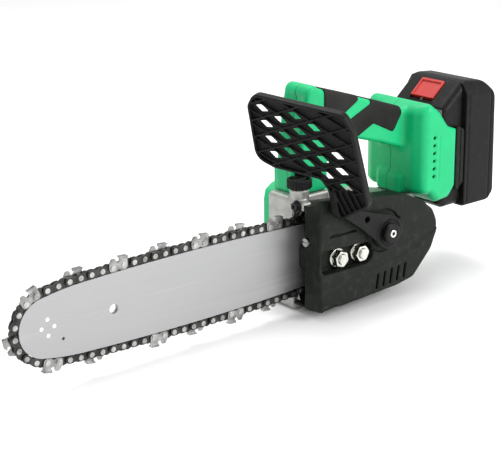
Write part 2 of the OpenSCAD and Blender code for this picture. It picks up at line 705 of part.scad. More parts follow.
// Rubber skin over a stretch of the handle
grip_side = soft([[-24, 189.4, 2], [17, 177, 10], [84, 154.6, 4], [84, 117, 2], [47, 127.4, 8],
                  [20, 135.6, 4], [-8, 143, 2], [-24, 150, 0]]);
module grip(zone) {
    difference() {
        slab(-handle_w / 2 - 1.4, handle_w / 2 + 1.4) intersection() {
            polygon(zone);
            polygon(grip_side);
        }
        body_bulk();
        rod(lock_at[0], lock_at[1], 7, -20, 0);
        block([-14, -9, 120], [20, 9, 153]);
    }
}
module front_grip() {
    color("black") grip(soft([[-24, 195, 0], [-24, 153, 3], [-15, 153, 3], [-6.5, 160.4, 2], [16.5, 173.6, 5],
                              [14, 195, 0]]));
}
module rear_grip() {
    color("black") grip(soft([[47, 172, 2], [76, 160, 3], [80, 150, 4], [74, 132, 3], [54, 138, 2],
                              [30, 128, 2], [4, 150, 2]]));
}
trigger_side = soft([[18.6, 152, 1], [13, 152, 1], [11, 149, 3], [-9, 149, 3], [-11, 141, 4], [-5, 131, 8],
                     [2, 127, 3], [7, 131, 6], [12, 138, 6], [18.4, 140, 3]]);
module trigger() {
    color("black") difference() {
        slab(-5.8, 5.8) polygon(trigger_side);
        rod(trigger_pin_at[0], trigger_pin_at[1], 1.56, -7, 7);
    }
}
module trigger_pin() {
    color("silver") rod(trigger_pin_at[0], trigger_pin_at[1], 1.5, -14.8, 14.8);
}
module trigger_spring() {
    color("silver") translate([trigger_spring_at[0], 0, trigger_spring_at[1]]) coil(2.2, 0.4, 9, 6);
}
module lock_button() {
    color("black") difference() {
        union() {
            rod(lock_at[0], lock_at[1], 4.2, -19.4, -8);
            rod(lock_at[0], lock_at[1], 5.6, -13, -11);
        }
        rod(lock_at[0], lock_at[1], 3, -17, -7);
    }
}
module lock_spring() {
    color("silver") translate([lock_at[0], -13.8, lock_at[1]]) rotate([-90, 0, 0]) coil(2.4, 0.4, 14.2, 8);
}
plunger_z = 150.5;
module switch_body() {
    color("dimgray") difference() {
        block([24, -13.3, 143], [48, 13.3, 160]);
        translate([23, 0, plunger_z]) rotate([0, 90, 0]) cylinder(r = 1.86, h = 8);
    }
}
module switch_plunger() {
    color("white") translate([19.2, 0, plunger_z]) rotate([0, 90, 0]) cylinder(r = 1.8, h = 8);
}
module control_board() {
    color("darkgreen") {
        block([77, -28, 96], [78.6, 28, 148]);
        for (y = [-20, 0, 20]) block([78.6, y - 5, 104], [84, y + 5, 116]);
    }
}
module battery_rails() {
    color("dimgray") difference() {
        union() {
            block([96.2, -mid_y + 3.1, 81], [98.8, mid_y - 3.1, 154]);
            for (k = [-1, 1]) translate([0, k * 33, 0]) block([104, -1.4, 84], [108, 1.4, 130]);
            for (k = [-1, 1]) translate([0, k * 33.9, 0]) block([98.6, -0.5, 84], [108, 0.5, 130]);
        }
        block([95, -16, 100], [100, 16, 122]);
    }
}
module terminal_block() {
    color("black") {
        block([93, -15.8, 100.2], [99.5, 15.8, 121.8]);
        for (y = [-10, 0, 10]) block([99.4, y - 0.5, 103], [106, y + 0.5, 119]);
    }
}

// ---- Battery ----

front_side = soft([[100.2, 66, 4], [108, 61, 4], [127.7, 62, 0], [127.7, 174.7, 0], [104, 154.5, 3],
                   [100.2, 148, 4]]);
front_plan = soft([[100, -32, 3], [128, -32, 0], [128, 32, 0], [100, 32, 3]]);
rear_case_side = soft([[127.8, 60, 0], [161, 60, 8], [167, 68, 8], [166, 160, 12], [155, 173.4, 14],
                       [134, 176, 5], [127.8, 174.8, 0]]);
rear_case_end = soft([[-mid_y, 59, 4], [mid_y, 59, 4], [mid_y, 165, 8], [30, 176.5, 9], [-30, 176.5, 9],
                      [-mid_y, 165, 8]]);
rear_case_room = soft([[126, 63, 0], [158, 63, 8], [164.4, 72, 6], [164.4, 158, 10], [154, 171, 10],
                       [134, 173.4, 3], [126, 171, 0]]);
front_room = soft([[103, 70, 2], [109, 64, 2], [130, 64, 0], [130, 172, 0], [106, 151.6, 2],
                   [103, 146, 2]]);
// Puts children on the sloping top of the battery's head, X up the slope
module on_slope() {
    translate([latch_mid[0], 0, latch_mid[1]]) rotate([0, -slope, 0]) children();
}
module battery_front_case() {
    color("darkslategray") difference() {
        union() {
            difference() {
                intersection() {
                    slab(-32, 32) polygon(front_side);
                    linear_extrude(200) polygon(front_plan);
                }
                slab(-29.6, 29.6) polygon(front_room);
            }
            // pocket under the latch
            intersection() {
                on_slope() translate([-13.6, -15.2, -4.4]) cube([29, 30.4, 3.4]);
                block([100, -16, 140], [127.7, 16, 180]);
            }
        }
        for (k = [-1, 1]) translate([0, k * 32.6, 0]) block([103.6, -1.4, 50], [108.4, 1.4, 180]);
        for (y = [-10, 0, 10]) block([99, y - 1.1, 50], [107, y + 1.1, 121]);
        on_slope() translate([-12.2, -13.8, -2.5]) cube([23.4, 27.6, 7]);
    }
}
module battery_rear_case() {
    color("darkslategray") difference() {
        intersection() {
            slab(-mid_y, mid_y) polygon(rear_case_side);
            translate([127, 0, 0]) rotate([90, 0, 90]) linear_extrude(40) polygon(rear_case_end);
        }
        difference() {
            slab(-mid_y + 2, mid_y - 2) polygon(rear_case_room);
            // flanges that close the seam beside the front case
            for (k = [-1, 1]) block([125, k * 34.4 - 1.7, 50], [129.8, k * 34.4 + 1.7, 180]);
        }
    }
}
module battery_cells() {
    color("cornflowerblue") for (x = [136.8, 155], k = [0:4]) rod(x, 78 + 19 * k, cell_r, -32.5, 32.5);
}
module battery_board() {
    color("darkgreen") {
        block([121, -27, 76], [122.6, 27, 142]);
        for (y = [-10, 10], s = [-1, 1])
            translate([0, s * 0.85 + y, 0]) block([104, -0.2, 84], [121, 0.2, 118]);
    }
}
module latch_button() {
    color("crimson") on_slope() difference() {
        union() {
            translate([-9.6, -13.6, -2.4]) cube([20.6, 27.2, 3.4]);
            translate([7.2, -13.6, 0.9]) cube([3.8, 27.2, 1.2]);
        }
        translate([-10, 0, -0.7]) rotate([0, 90, 0]) cylinder(r = 1.4, h = 5.5);
    }
}
module latch_spring() {
    color("silver") on_slope() translate([-12.1, 0, -0.7]) rotate([0, 90, 0]) coil(1, 0.25, 4.9, 5);
}

bar_near_sheet();
bar_core();
bar_far_sheet();
nose_sprocket();
nose_hub();
nose_rivets();
chain_drive_links();
chain_cutters();
chain_tie_straps();
chain_rivets();
drive_sprocket();
sprocket_clip();
output_shaft();
output_gear();
output_bearings();
rotor();
motor_fan();
stator();
motor_bearings();
gear_case();
gear_cover();
motor_housing();
oil_tank();
oil_cap();
oil_cap_seal();
oil_pump();
bar_studs();
bar_nuts();
tensioner_screw();
tensioner_block();
sprocket_cover();
hand_guard();
guard_screw();
near_shell();
far_shell();
front_grip();
rear_grip();
shell_screws();
trigger();
trigger_pin();
trigger_spring();
lock_button();
lock_spring();
switch_body();
switch_plunger();
control_board();
battery_rails();
terminal_block();
battery_front_case();
battery_rear_case();
battery_cells();
battery_board();
latch_button();
latch_spring();
case_screws();
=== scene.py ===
"""Looks of the battery chainsaw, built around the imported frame.

Moulded pieces are solids described by signed distance, negative inside and positive outside.
surface() turns one into a smooth mesh. Lengths are in millimetres until a mesh is made.
"""
import math

import bpy
import numpy as np
from mathutils import Matrix, Vector


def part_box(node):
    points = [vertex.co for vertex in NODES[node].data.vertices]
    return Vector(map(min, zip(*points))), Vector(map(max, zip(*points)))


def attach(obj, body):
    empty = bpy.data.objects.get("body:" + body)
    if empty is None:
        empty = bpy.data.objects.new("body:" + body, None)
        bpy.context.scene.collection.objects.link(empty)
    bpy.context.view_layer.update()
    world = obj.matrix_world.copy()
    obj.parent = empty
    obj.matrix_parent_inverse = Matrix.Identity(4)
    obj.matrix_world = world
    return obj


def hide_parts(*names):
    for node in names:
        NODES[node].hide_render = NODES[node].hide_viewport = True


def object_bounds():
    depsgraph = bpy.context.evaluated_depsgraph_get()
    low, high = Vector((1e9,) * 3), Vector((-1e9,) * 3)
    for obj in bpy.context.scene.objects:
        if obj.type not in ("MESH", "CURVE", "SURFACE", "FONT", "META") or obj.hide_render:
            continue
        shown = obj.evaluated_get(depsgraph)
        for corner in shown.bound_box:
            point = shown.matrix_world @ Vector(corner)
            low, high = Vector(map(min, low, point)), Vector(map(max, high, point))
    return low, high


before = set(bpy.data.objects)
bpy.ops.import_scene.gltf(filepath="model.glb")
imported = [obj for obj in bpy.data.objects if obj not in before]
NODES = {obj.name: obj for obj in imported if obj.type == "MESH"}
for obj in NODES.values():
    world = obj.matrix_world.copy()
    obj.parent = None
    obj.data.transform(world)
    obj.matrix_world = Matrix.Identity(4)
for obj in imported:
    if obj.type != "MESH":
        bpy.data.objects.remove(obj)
cad_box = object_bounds()
MM = 0.001


# ---- Places taken from the frame ----

def box_mm(node):
    """Lowest and highest corner of a CAD node."""
    low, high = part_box(node)
    return np.array(low) / MM, np.array(high) / MM


def middle(node):
    """Centre of a CAD node's box."""
    low, high = box_mm(node)
    return (low + high) / 2


PIVOT = middle("guard_screw")[[0, 2]]
PIVOT_TIP = box_mm("guard_screw")[0][1]
COVER_LOW, COVER_HIGH = box_mm("sprocket_cover")
NUTS = box_mm("bar_nuts")
STUD_RADIUS = (box_mm("bar_studs")[1][2] - box_mm("bar_studs")[0][2]) / 2
STUD_X = (box_mm("bar_studs")[0][0] + STUD_RADIUS, box_mm("bar_studs")[1][0] - STUD_RADIUS)
AXIS_Z = middle("bar_studs")[2]
CAP = middle("oil_cap")
CAP_TOP = box_mm("oil_cap")[1][2]
MOTOR = middle("rotor")
TENSIONER = box_mm("tensioner_screw")
BODY_HALF = box_mm("battery_rear_case")[1][1]
LOCK = middle("lock_button")
PIN = middle("trigger_pin")


# ---- Signed distances ----

def unit(v):
    """The same direction with length 1."""
    return v / np.linalg.norm(v)


def rounded(*corners, steps=6):
    """Outline from [across, up, corner radius] entries."""
    points = []
    for i, (across, up, radius) in enumerate(corners):
        here = np.array((across, up), float)
        if radius == 0:
            points.append(here)
            continue
        u = unit(np.array(corners[i - 1][:2]) - here)
        v = unit(np.array(corners[(i + 1) % len(corners)][:2]) - here)
        half = math.acos(u @ v) / 2
        centre = here + unit(u + v) * radius / math.sin(half)
        start = here + u * radius / math.tan(half) - centre
        end = here + v * radius / math.tan(half) - centre
        first = math.atan2(start[1], start[0])
        turn = (math.atan2(end[1], end[0]) - first + math.pi) % math.tau - math.pi
        angles = first + turn * np.arange(steps + 1) / steps
        points += [centre + radius * np.array((math.cos(a), math.sin(a))) for a in angles]
    return np.array(points)


def flat(across, up, outline):
    """Distance to a closed outline."""
    nearest = np.full(np.broadcast(across, up).shape, np.inf)
    inside = np.zeros(nearest.shape, bool)
    for (ax, az), (bx, bz) in zip(outline, np.roll(outline, -1, axis=0)):
        ex, ez = bx - ax, bz - az
        wx, wz = across - ax, up - az
        t = np.clip((wx * ex + wz * ez) / (ex * ex + ez * ez), 0, 1)
        nearest = np.minimum(nearest, (wx - t * ex) ** 2 + (wz - t * ez) ** 2)
        if ez != 0:
            inside ^= ((az > up) != (bz > up)) & (wx < wz * ex / ez)
    return np.where(inside, -1, 1) * np.sqrt(nearest)


def between(v, low, high):
    """Distance to the layer between two values."""
    return np.abs(v - (low + high) / 2) - (high - low) / 2


def meet(a, b, r=0.0):
    """What both solids share, with round outer edges."""
    if r == 0:
        return np.maximum(a, b)
    a, b = a + r, b + r
    return np.minimum(np.maximum(a, b), 0) + np.hypot(np.maximum(a, 0), np.maximum(b, 0)) - r


def join(a, b, r=0.0):
    """Both solids, with a fillet between them."""
    return -meet(-a, -b, r)


def carve(a, b, r=0.0):
    """The first solid without the second."""
    return meet(a, -b, r)


def slab(x, y, z, outline, y_low, y_high, r=0.0):
    """A side view's outline with a thickness across the saw."""
    return meet(flat(x, z, outline), between(y, y_low, y_high), r)


def rod(across, up, along, centre, radius, low, high, r=0.0):
    """A rod of that radius whose axis runs with the third coordinate."""
    return meet(np.hypot(across - centre[0], up - centre[1]) - radius, between(along, low, high), r)


def block(x, y, z, low, high, r=0.0):
    """A box with round edges."""
    wide = meet(between(x, low[0], high[0]), between(y, low[1], high[1]), r)
    return meet(wide, between(z, low[2], high[2]), r)


def hexagon(across, up, half):
    """Distance to a hexagon with that half width across its flats."""
    angle = np.arctan2(up, across)
    away = np.hypot(across, up)
    return away * np.cos((angle + math.pi / 6) % (math.pi / 3) - math.pi / 6) - half


def turned(across, up, centre, degrees):
    """Coordinates in a frame turned by that angle about a centre."""
    c, s = math.cos(math.radians(degrees)), math.sin(math.radians(degrees))
    return (across - centre[0]) * c + (up - centre[1]) * s, (up - centre[1]) * c - (across - centre[0]) * s


# ---- Surface of a solid ----

COARSE = 1.0
CORNERS = [(i, j, k) for i in (0, 1) for j in (0, 1) for k in (0, 1)]


def surface(name, solid, low, high, step):
    """A smooth mesh of solid(x, y, z) inside the box from low to high, by surface nets on a grid."""
    step *= COARSE
    axes = [np.arange(a - 2 * step, b + 3 * step, step) for a, b in zip(low, high)]
    shape = tuple(len(a) for a in axes)
    x, y, z = axes[0][:, None, None], axes[1][None, :, None], axes[2][None, None, :]
    value = np.broadcast_to(solid(x, y, z), shape).astype(np.float32)
    inside = value < 0
    cells = tuple(n - 1 for n in shape)
    corner = {c: inside[c[0]:c[0] + cells[0], c[1]:c[1] + cells[1], c[2]:c[2] + cells[2]] for c in CORNERS}
    active = np.logical_or.reduce(list(corner.values())) & ~np.logical_and.reduce(list(corner.values()))
    at = np.argwhere(active)
    number = np.full(cells, -1, np.int64)
    number[tuple(at.T)] = np.arange(len(at))
    total = np.zeros((len(at), 3))
    count = np.zeros(len(at))
    for a in CORNERS:
        for axis in range(3):
            if a[axis] == 1:
                continue
            b = tuple(1 if i == axis else a[i] for i in range(3))
            va = value[tuple((at + a).T)].astype(float)
            vb = value[tuple((at + b).T)].astype(float)
            cut = (va < 0) != (vb < 0)
            part = np.where(cut, va / np.where(cut, va - vb, 1), 0)
            point = np.array(a, float)[None, :] + part[:, None] * np.eye(3)[axis]
            total += point * cut[:, None]
            count += cut
    origin = np.array([a[0] for a in axes])
    verts = origin + (at + total / count[:, None]) * step
    verts = settle(solid, verts, step)

    faces = []
    for axis in range(3):
        u, v = (axis + 1) % 3, (axis + 2) % 3
        near = [slice(1, cells[i]) for i in range(3)]
        near[axis] = slice(0, cells[axis])
        far = list(near)
        far[axis] = slice(1, shape[axis])
        first, second = inside[tuple(near)], inside[tuple(far)]
        edges = np.argwhere(first != second) + [0 if i == axis else 1 for i in range(3)]
        ring = []
        for du, dv in ((0, 0), (-1, 0), (-1, -1), (0, -1)):
            cell = edges.copy()
            cell[:, u] += du
            cell[:, v] += dv
            ring.append(number[tuple(cell.T)])
        quad = np.stack(ring, 1)
        leaving = inside[tuple(edges.T)]
        quad[~leaving] = quad[~leaving][:, ::-1]
        faces.append(quad)
    return make_mesh(name, verts, np.concatenate(faces))


def settle(solid, verts, step, rounds=3, probe=0.04):
    """Moves points onto the surface along its gradient."""
    x, y, z = verts.T
    slope = np.stack([solid(x + probe, y, z) - solid(x - probe, y, z),
                      solid(x, y + probe, z) - solid(x, y - probe, z),
                      solid(x, y, z + probe) - solid(x, y, z - probe)], 1) / (2 * probe)
    slope /= np.maximum((slope ** 2).sum(1), 0.25)[:, None]
    for _ in range(rounds):
        here = np.clip(solid(*verts.T), -step / 2, step / 2)
        verts = verts - slope * here[:, None]
    return verts


def make_mesh(name, verts, quads):
    """A smooth-shaded object from points in millimetres and faces of four points."""
    mesh = bpy.data.meshes.new(name)
    mesh.vertices.add(len(verts))
    mesh.vertices.foreach_set("co", (verts * MM).astype(np.float32).ravel())
    mesh.loops.add(quads.size)
    mesh.loops.foreach_set("vertex_index", quads.astype(np.int32).ravel())
    mesh.polygons.add(len(quads))
    mesh.polygons.foreach_set("loop_start", np.arange(0, quads.size, 4, dtype=np.int32))
    mesh.polygons.foreach_set("use_smooth", np.ones(len(quads), bool))
    mesh.update(calc_edges=True)
    mesh.validate()
    piece = bpy.data.objects.new(name, mesh)
    bpy.context.scene.collection.objects.link(piece)
    return piece


def dress(piece, body, material, slot, *nodes):
    """Gives a piece its material and its body, and hides the CAD nodes it stands for."""
    piece.data.materials.clear()
    piece.data.materials.append(material)
    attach(piece, body)
    if nodes:
        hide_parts(*nodes)
    return piece


# ---- Materials ----

def srgb(*rgb):
    """Linear colour from 0 to 255 display values."""
    return tuple(((v / 255 + 0.055) / 1.055) ** 2.4 if v > 10 else v / 255 / 12.92 for v in rgb) + (1.0,)


class Shader:
    """A node material on object coordinates, so that its detail stays put as a piece moves."""

    def __init__(self, name, metallic=0.0, specular=0.5):
        self.material = bpy.data.materials.new(name)
        self.material.use_nodes = True
        self.tree = self.material.node_tree
        self.bsdf = self.tree.nodes["Principled BSDF"]
        self.bsdf.inputs["Metallic"].default_value = metallic
        self.bsdf.inputs["Specular IOR Level"].default_value = specular
        self.place = self.tree.nodes.new("ShaderNodeTexCoord").outputs["Object"]

    def node(self, kind, **inputs):
        n = self.tree.nodes.new(kind)
        for key, value in inputs.items():
            socket = n.inputs[key.replace("_", " ")]
            if hasattr(value, "is_linked"):
                self.tree.links.new(value, socket)
            else:
                socket.default_value = value
        return n

    def noise(self, scale, detail=3.0, stretch=(1, 1, 1)):
        """Noise with that many features per metre, drawn out by the stretch along each axis."""
        mapping = self.node("ShaderNodeMapping", Vector=self.place)
        mapping.inputs["Scale"].default_value = stretch
        noise = self.node("ShaderNodeTexNoise", Vector=mapping.outputs[0], Scale=scale, Detail=detail)
        return noise.outputs["Fac"]

    def ramp(self, value, low, high, at_low=0.0, at_high=1.0):
        n = self.node("ShaderNodeMapRange", Value=value)
        for key, v in zip(("From Min", "From Max", "To Min", "To Max"), (low, high, at_low, at_high)):
            n.inputs[key].default_value = v
        return n.outputs[0]

    def mix(self, amount, a, b):
        n = self.tree.nodes.new("ShaderNodeMix")
        n.data_type = "RGBA"
        sockets = [s for s in n.inputs if s.enabled]
        for socket, value in zip(sockets, (amount, a, b)):
            if hasattr(value, "is_linked"):
                self.tree.links.new(value, socket)
            else:
                socket.default_value = value
        return next(s for s in n.outputs if s.enabled)

    def times(self, a, b):
        n = self.tree.nodes.new("ShaderNodeMath")
        n.operation = "MULTIPLY"
        for socket, value in zip(n.inputs, (a, b)):
            if hasattr(value, "is_linked"):
                self.tree.links.new(value, socket)
            else:
                socket.default_value = value
        return n.outputs[0]

    def edges(self, reach, low=0.05, high=0.35):
        """1 on convex and concave edges narrower than reach, 0 on flats."""
        round_normal = self.node("ShaderNodeBevel", Radius=reach * MM)
        round_normal.samples = 4
        normal = self.tree.nodes.new("ShaderNodeNewGeometry").outputs["Normal"]
        dot = self.tree.nodes.new("ShaderNodeVectorMath")
        dot.operation = "DOT_PRODUCT"
        self.tree.links.new(round_normal.outputs[0], dot.inputs[0])
        self.tree.links.new(normal, dot.inputs[1])
        return self.ramp(dot.outputs["Value"], 1 - low, 1 - high)

    def finish(self, colour, rough, height, depth):
        """Links colour, roughness and bump; depth is the bump's height in millimetres."""
        self.tree.links.new(colour, self.bsdf.inputs["Base Color"])
        self.tree.links.new(rough, self.bsdf.inputs["Roughness"])
        bump = self.node("ShaderNodeBump", Height=height, Distance=depth * MM, Strength=1.0)
        self.tree.links.new(bump.outputs[0], self.bsdf.inputs["Normal"])
        return self.material


def moulded(name, colour, wear_and_highlight, roughness, grain=900.0, depth=0.03, specular=0.5):
    """Moulded plastic: fine spark texture, faint cloudiness, scuffs, and paler edges that are a painted
    highlight.
    """
    s = Shader(name, specular=specular)
    cloud = s.ramp(s.noise(22, 4), 0.35, 0.65)
    scuff = s.times(s.ramp(s.noise(160, 5), 0.52, 0.72), 0.35)
    # mask for a painted highlight: edges and creases are lightened towards the second colour
    edge = s.times(s.edges(0.7), s.ramp(s.noise(70, 4), 0.3, 0.6))
    dark = tuple(0.86 * c for c in colour[:3]) + (1.0,)
    base = s.mix(cloud, dark, colour)
    base = s.mix(s.times(scuff, 0.3), base, wear_and_highlight)
    # painted highlight along edges and creases; the scuffs above are wear
    base = s.mix(s.times(edge, 0.55), base, wear_and_highlight)
    rough = s.ramp(s.noise(300, 3), 0.3, 0.7, roughness - 0.06, roughness + 0.06)
    return s.finish(base, rough, s.noise(grain, 2), depth)


def rubber(name, colour, wear_and_highlight, roughness=0.7):
    """Soft grip: matt pebbled skin with dusty patches and a painted highlight on its edges."""
    s = Shader(name, specular=0.15)
    pebble = s.node("ShaderNodeTexVoronoi", Vector=s.place, Scale=750.0).outputs["Distance"]
    base = s.mix(s.ramp(s.noise(30, 4), 0.35, 0.7), colour, wear_and_highlight)
    # painted highlight: edges lightened towards the second colour
    base = s.mix(s.times(s.edges(0.6), 0.4), base, wear_and_highlight)
    rough = s.ramp(s.noise(120, 3), 0.3, 0.7, roughness - 0.08, roughness + 0.06)
    return s.finish(base, rough, pebble, 0.12)


def brushed(name, colour, dark, roughness, stretch, scale=60.0, depth=0.006):
    """Rolled and brushed steel, with grain drawn out along one axis and faint scratches."""
    s = Shader(name, metallic=1.0)
    grain = s.noise(scale, 4, stretch)
    base = s.mix(s.ramp(grain, 0.3, 0.7), dark, colour)
    scratch = s.ramp(s.noise(9, 6, tuple(3 * v for v in stretch)), 0.60, 0.66)
    base = s.mix(s.times(scratch, 0.12), base, srgb(228, 228, 226))
    # painted highlight: edges lightened to near white
    base = s.mix(s.times(s.edges(0.3), 0.6), base, srgb(240, 240, 238))
    rough = s.ramp(grain, 0.3, 0.7, roughness - 0.05, roughness + 0.08)
    return s.finish(base, rough, grain, depth)


def plated(name, colour, stain, roughness, metallic=1.0, grain=500.0, depth=0.01):
    """Turned, plated or blackened metal: small tool marks, stains in the hollows, and edges lightened as a
    painted highlight.
    """
    s = Shader(name, metallic=metallic)
    base = s.mix(s.ramp(s.noise(140, 5), 0.35, 0.7), colour, stain)
    # painted highlight: a lighter copy of the colour laid on the edges
    bright = tuple(min(1.0, c * 1.7 + 0.04) for c in colour[:3]) + (1.0,)
    base = s.mix(s.times(s.edges(0.25), 0.6), base, bright)
    rough = s.ramp(s.noise(260, 4), 0.3, 0.7, roughness - 0.06, roughness + 0.1)
    return s.finish(base, rough, s.noise(grain, 3), depth)


def cast(name, colour, dark):
    """Sand-blasted die casting: coarse skin, dark pores, and paler edges that are rubbed wear and a painted
    highlight.
    """
    s = Shader(name, metallic=0.85)
    base = s.mix(s.ramp(s.noise(60, 5), 0.3, 0.75), dark, colour)
    base = s.mix(s.ramp(s.noise(700, 2), 0.66, 0.74, 0.0, 0.6), base, srgb(95, 93, 88))
    # paler edges, convex and concave: painted highlight as well as rubbed wear
    base = s.mix(s.times(s.edges(0.8), 0.7), base, srgb(226, 226, 221))
    rough = s.ramp(s.noise(200, 4), 0.3, 0.7, 0.36, 0.58)
    return s.finish(base, rough, s.noise(420, 4), 0.09)


def wound(name, colour, gap):
    """Varnished copper wire: fine parallel turns."""
    s = Shader(name, metallic=1.0)
    wave = s.node("ShaderNodeTexWave", Vector=s.place, Scale=320.0, Distortion=1.5)
    base = s.mix(wave.outputs["Fac"], gap, colour)
    rough = s.ramp(s.noise(200, 3), 0.3, 0.7, 0.25, 0.45)
    return s.finish(base, rough, wave.outputs["Fac"], 0.15)


def printed_board(name, colour, track):
    """Circuit board: solder mask with tracks showing through."""
    s = Shader(name)
    cells = s.node("ShaderNodeTexBrick", Vector=s.place, Scale=260.0)
    base = s.mix(s.ramp(cells.outputs["Fac"], 0.2, 0.8, 0.0, 0.6), colour, track)
    base = s.mix(s.ramp(s.noise(40, 3), 0.3, 0.7, 0.0, 0.25), base, srgb(10, 30, 20))
    rough = s.ramp(s.noise(150, 3), 0.3, 0.7, 0.28, 0.42)
    return s.finish(base, rough, cells.outputs["Fac"], 0.04)


# the second colour of each moulded and rubber material serves both scuff or dust wear and a painted
# highlight on edges
GREEN = moulded("green_plastic", srgb(16, 192, 122), srgb(64, 216, 154), 0.42, specular=0.3)
# the cover's paler second colour is lifted so its edges and the lower panel's crease show a painted
# highlight line, besides scuffs
COVER = moulded("cover_plastic", srgb(24, 28, 23), srgb(92, 97, 86), 0.5, specular=0.15)
GUARD = moulded("guard_plastic", srgb(19, 21, 19), srgb(60, 62, 57), 0.46, specular=0.16)
BATTERY = moulded("battery_plastic", srgb(17, 19, 17), srgb(66, 68, 62), 0.42, specular=0.15)
BLACK = moulded("black_plastic", srgb(12, 12, 12), srgb(44, 44, 42), 0.4, specular=0.2)
RED = moulded("red_plastic", srgb(196, 36, 30), srgb(232, 110, 95), 0.4)
TANK = moulded("tank_plastic", srgb(226, 222, 205), srgb(245, 243, 235), 0.45)
SWITCH = moulded("switch_plastic", srgb(70, 71, 74), srgb(120, 120, 122), 0.5)
WHITE = moulded("plunger_plastic", srgb(222, 222, 216), srgb(250, 250, 248), 0.4)
CELL = moulded("cell_wrap", srgb(60, 110, 205), srgb(130, 165, 230), 0.3, grain=300, depth=0.01)
GRIP = rubber("grip_rubber", srgb(26, 26, 24), srgb(44, 43, 41))
SEAL = rubber("seal_rubber", srgb(22, 22, 22), srgb(50, 50, 50), 0.6)
BAR = brushed("bar_steel", srgb(180, 180, 181), srgb(172, 172, 173), 0.5, (0.1, 5, 5), depth=0.002)
CORE = brushed("bar_core_steel", srgb(120, 120, 120), srgb(90, 90, 90), 0.45, (0.12, 6, 6))
SHAFT = brushed("shaft_steel", srgb(190, 192, 196), srgb(160, 162, 166), 0.28, (4, 0.3, 4))
CHAIN = plated("chain_dark", srgb(78, 77, 75), srgb(40, 39, 38), 0.36, metallic=0.9)
CUTTER = plated("cutter_chrome", srgb(172, 172, 170), srgb(104, 104, 102), 0.3)
RIVET = plated("rivet_steel", srgb(196, 196, 194), srgb(120, 120, 118), 0.3)
NOSE_RIVET = plated("nose_rivet_steel", srgb(250, 250, 250), srgb(235, 235, 235), 0.15)
SPROCKET = plated("sprocket_steel", srgb(105, 106, 108), srgb(70, 70, 72), 0.38)
ZINC = plated("zinc", srgb(222, 222, 216), srgb(190, 189, 182), 0.2)
SPRING = plated("spring_steel", srgb(185, 186, 190), srgb(140, 140, 145), 0.25)
BLACK_SCREW = plated("black_screw", srgb(36, 36, 36), srgb(20, 20, 20), 0.4, metallic=0.6)
ALLOY = cast("cast_alloy", srgb(186, 186, 183), srgb(158, 158, 154))
COPPER = wound("winding_copper", srgb(190, 105, 60), srgb(80, 38, 20))
BOARD = printed_board("board", srgb(16, 70, 40), srgb(44, 120, 70))


# ---- Handle and rear body ----

SHELL_STEP = 0.95
HANDLE_HALF = 16
SHELL_WALL = 2.5
SEAM = 0.12
HANDLE_SIDE = rounded((-51, 100.1, 0), (-50, 132, 0), (-45.5, 164, 0), (-40.5, 191, 7), (-33, 191.5, 4),
                      (-28, 188, 8), (17, 174.5, 10), (84, 152.4, 0), (84, 116.4, 0), (47, 129, 8),
                      (20, 137, 8), (-8, 145, 6), (-17, 140, 6), (-19, 100.1, 0))
HANDLE_PLAN = rounded((-56, -15.5, 9), (-26, -19, 0), (90, -30, 0), (90, 30, 0), (-26, 19, 0),
                      (-56, 15.5, 9))
REAR_SIDE = rounded((50, 79.6, 0), (84, 79.6, 4), (94, 70, 6), (110, 71.5, 8), (118.4, 82, 6),
                    (118.4, 136, 3), (107, 140, 7), (97, 153, 9), (84, 162.5, 8), (72, 158.5, 10),
                    (50, 150, 0))
REAR_PLAN = rounded((71, -26, 9), (76.5, -37.5, 9), (140, -37.5, 0), (140, 37.5, 0), (76.5, 37.5, 9),
                    (71, 26, 9))
SCREW_POSTS = [(-34, 134, 13.5), (-33, 181, 13.5), (16, 161, 13.5), (90, 89, 35), (86, 155, 35)]
KNOB_FACE = (-43.6, 172)
KNOB_LEAN = -10.5
FLUTE_RADIUS, FLUTE_DEPTH = 22, 1.6
VENTS, VENT_STEP, VENT_TURN = 6, 7.05, 24
LOWEST_VENT = (88.3, 95.8)
VENT_LINE_X = 94.3
POST_RADIUS = 4.4
SCREW_HOLE, HEAD_HOLE = 1.6, 3.2


def body_form(x, y, z):
    """The handle, the knob at its front and the rear body, as if solid."""
    handle = slab(x, y, z, HANDLE_SIDE, -HANDLE_HALF, HANDLE_HALF, 4)
    handle = meet(handle, flat(x, y, HANDLE_PLAN), 3)
    out, up = turned(x, z, KNOB_FACE, KNOB_LEAN)
    flute = meet(np.hypot(out + FLUTE_RADIUS, y) - FLUTE_RADIUS - FLUTE_DEPTH, between(up, -30, 12), 4)
    handle = carve(handle, flute, 1.5)
    rear = meet(flat(x, z, REAR_SIDE), flat(x, y, REAR_PLAN), 7)
    foot = meet(block(x, y, z, (66.3, -16, 70), (80, 16, 98.5), 6), 79.7 - z, 2)
    ledge = block(x, y, z, (-50, 12, 98.1), (-19, 20, 126), 3)
    return join(join(join(handle, rear, 5), foot, 3), ledge, 2)


def body_room(x, y, z, form):
    """The hollow under the wall, the battery's bay, and the openings through the wall."""
    bay = block(x, y, z, (99, 3 - BODY_HALF, 60), (135, BODY_HALF - 3, 180), 1)
    trigger_slot = block(x, y, z, (-13, -6.5, 125), (19, 6.5, 153))
    cap_relief = rod(x, y, z, CAP[:2], 11.4, 90, 124.5)
    room = np.minimum(np.minimum(form + SHELL_WALL, bay), np.minimum(trigger_slot, cap_relief))
    for k in range(VENTS):
        across, up = turned(x, z, (LOWEST_VENT[0], LOWEST_VENT[1] + VENT_STEP * k), VENT_TURN)
        vent = meet(between(across, -1.7, 1.7), between(up, -1.3, 1.3), 0.5)
        room = np.minimum(room, vent)
    return room


